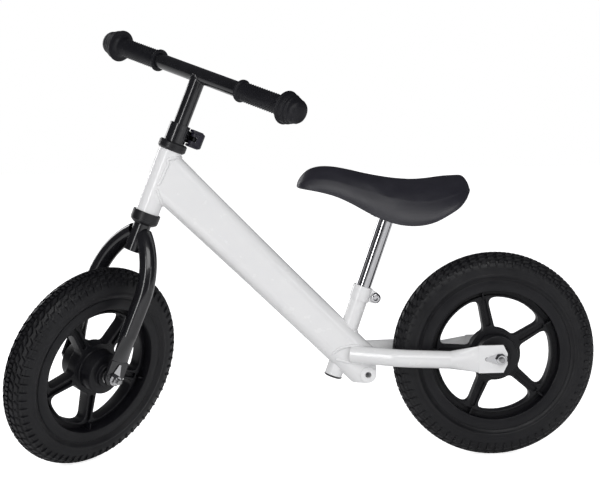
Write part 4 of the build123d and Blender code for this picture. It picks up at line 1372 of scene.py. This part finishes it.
# %% Saddle stations, in millimetres behind the rear axle
# Each: place, underside, top of the crown, ridge height, half width at the ridge, half width of the flank.
saddle_lines = [
    (-287.4, 399.2, 404.0, 402.0, 6.0, 8.0),
    (-285.6, 398.2, 409.2, 404.6, 11.0, 13.0),
    (-282.4, 397.4, 414.2, 407.2, 14.6, 17.6),
    (-276.4, 396.4, 421.0, 409.6, 18.0, 22.4),
    (-267.0, 394.8, 426.6, 411.4, 20.8, 26.6),
    (-253.0, 391.8, 429.6, 411.8, 22.8, 29.6),
    (-234.0, 386.2, 428.8, 409.0, 24.6, 32.2),
    (-212.0, 376.0, 424.8, 402.6, 27.0, 35.6),
    (-188.0, 362.4, 419.6, 394.8, 30.4, 41.2),
    (-164.0, 351.4, 415.2, 387.0, 35.4, 49.0),
    (-142.0, 345.6, 412.2, 381.2, 40.6, 56.0),
    (-120.0, 344.6, 411.0, 378.6, 44.6, 60.6),
    (-98.0, 348.8, 412.0, 379.6, 47.0, 62.8),
    (-78.0, 358.4, 413.8, 384.0, 46.6, 62.0),
    (-60.4, 368.6, 414.2, 389.4, 42.6, 56.6),
    (-49.4, 378.4, 413.8, 392.8, 34.6, 45.8),
    (-43.8, 384.6, 410.2, 394.2, 26.4, 34.6),
    (-39.4, 389.6, 403.6, 394.8, 17.0, 22.6),
    (-37.6, 392.4, 399.2, 395.0, 9.0, 12.0),
]
pocket_depth = 13.8
lip_width = 5.6
lip_rise = 1.6
ridge_round_out = 1.2
ridge_round_down = 2.0
print("saddle", len(saddle_lines), "stations")


def between(stations, share):
    """A smooth station between the given ones, at a share of the way from the first to the last."""
    reach = share * (len(stations) - 1)
    number = min(int(reach), len(stations) - 2)
    t = reach - number
    rows = [stations[min(max(number + shift, 0), len(stations) - 1)] for shift in (-1, 0, 1, 2)]
    return [passing_through(*near, t) for near in zip(*rows)]


# %% One cross-section
def half_section(low, top, ridge, ridge_half, flank_half):
    """From the crown's middle down one side, round the lip and into the pocket's middle."""
    depth = min(pocket_depth, 0.45 * (top - low))
    lip = min(lip_width, 0.45 * flank_half)
    drop = top - ridge
    crown = []
    for share in (0.0, 0.16, 0.32, 0.47, 0.61, 0.74, 0.85, 0.94):
        crown.append((ridge_half * share, top - drop * share ** 1.5, False))
    shoulder = [
        (ridge_half + 0.1, ridge, False),
        (ridge_half + ridge_round_out, ridge - ridge_round_down, False),
    ]
    flank_top = ridge - ridge_round_down
    flank_start = ridge_half + ridge_round_out
    flank = []
    for share in (0.1, 0.22, 0.36, 0.5, 0.64, 0.78, 0.9):
        y = flank_start + (flank_half - flank_start) * math.sin(share * math.pi / 2)
        flank.append((y, flank_top + (low + lip_rise - flank_top) * share, False))
    edge = [
        (flank_half, low + lip_rise, True),
        (flank_half - 2.0, low + 0.1, True),
        (flank_half - lip + 0.6, low + 0.1, True),
        (flank_half - lip, low + 1.2, True),
        (flank_half - lip - 0.3, low + 0.6 * depth, True),
        (flank_half - lip - 1.0, low + depth, True),
        (0.5 * (flank_half - lip), low + depth, True),
        (0.0, low + depth, True),
    ]
    return crown + shoulder + flank + edge


def whole_section(station):
    """The ring of points round one station, each with whether it is pinned."""
    x, low, top, ridge, ridge_half, flank_half = station
    half = half_section(low, top, ridge, ridge_half, flank_half)
    left = [(x, -y, z, pinned) for y, z, pinned in half]
    right = [(x, y, z, pinned) for y, z, pinned in reversed(half[1:-1])]
    return left + right


# %% The loft
station_count = 72
end_crowding = 0.35


def saddle_loft():
    """The skin's mesh and the numbers of its pinned points. Stations crowd a little towards the ends."""
    ring_points = []
    for number in range(station_count):
        share = number / (station_count - 1)
        eased = 0.5 - 0.5 * math.cos(share * math.pi)
        place = end_crowding * eased + (1 - end_crowding) * share
        ring_points += whole_section(between(saddle_lines, place))
    columns = len(ring_points) // station_count
    points = [Vector((x, y, z)) * millimetre for x, y, z, _ in ring_points]
    pinned = [number for number, point in enumerate(ring_points) if point[3]]
    faces = grid_faces(station_count, columns, closed=False)
    last = (station_count - 1) * columns
    for ring_start in (0, last):
        middle = sum(points[ring_start:ring_start + columns], Vector()) / columns
        hub = len(points)
        points.append(middle)
        for column in range(columns):
            faces.append((ring_start + column, ring_start + (column + 1) % columns, hub))
    mesh = mesh_from("padded_saddle", points, faces)
    weld_and_face_out(mesh, 0.0)
    return mesh, pinned


# %% Swell it as cloth
cloth_steps = 18
most_swell = 0.0022


def swell(piece, pinned):
    """Cloth with pressure, its result capped and applied to the mesh."""
    held = piece.vertex_groups.new(name="held")
    held.add(pinned, 1.0, "REPLACE")
    rest = [v.co.copy() for v in piece.data.vertices]
    cloth = piece.modifiers.new("cloth", "CLOTH")
    settings = cloth.settings
    settings.quality = 6
    settings.mass = 0.25
    settings.tension_stiffness = 30
    settings.compression_stiffness = 30
    settings.shear_stiffness = 12
    settings.bending_stiffness = 3
    settings.vertex_group_mass = "held"
    settings.use_pressure = True
    settings.uniform_pressure_force = 4.0
    settings.effector_weights.gravity = 0.0
    cloth.collision_settings.use_collision = False
    for step in range(1, cloth_steps + 1):
        scene.frame_set(step)
    settled = piece.evaluated_get(bpy.context.evaluated_depsgraph_get()).data
    moved = [v.co.copy() for v in settled.vertices]
    piece.modifiers.clear()
    scene.frame_set(1)
    furthest = 0.0
    for vertex, start, end in zip(piece.data.vertices, rest, moved):
        step = end - start
        if step.length > most_swell:
            step = step.normalized() * most_swell
        furthest = max(furthest, step.length)
        vertex.co = start + step
    piece.vertex_groups.clear()
    print("swelled by up to", round(furthest * 1000, 2), "mm")


# %% The saddle's piece
saddle_mesh, saddle_pins = saddle_loft()
saddle_mesh.transform(Matrix.Translation((rear_centre.x, 0, 0)))
saddle = new_piece("padded_saddle", saddle_mesh, paints["saddle_cover"])
swell(saddle, saddle_pins)
smoother = saddle.modifiers.new("smoother", "SUBSURF")
smoother.levels = 1
smoother.render_levels = 1
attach(saddle, "seat")
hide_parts("saddle_cover")
print("saddle", len(saddle.data.polygons), "faces before smoothing")
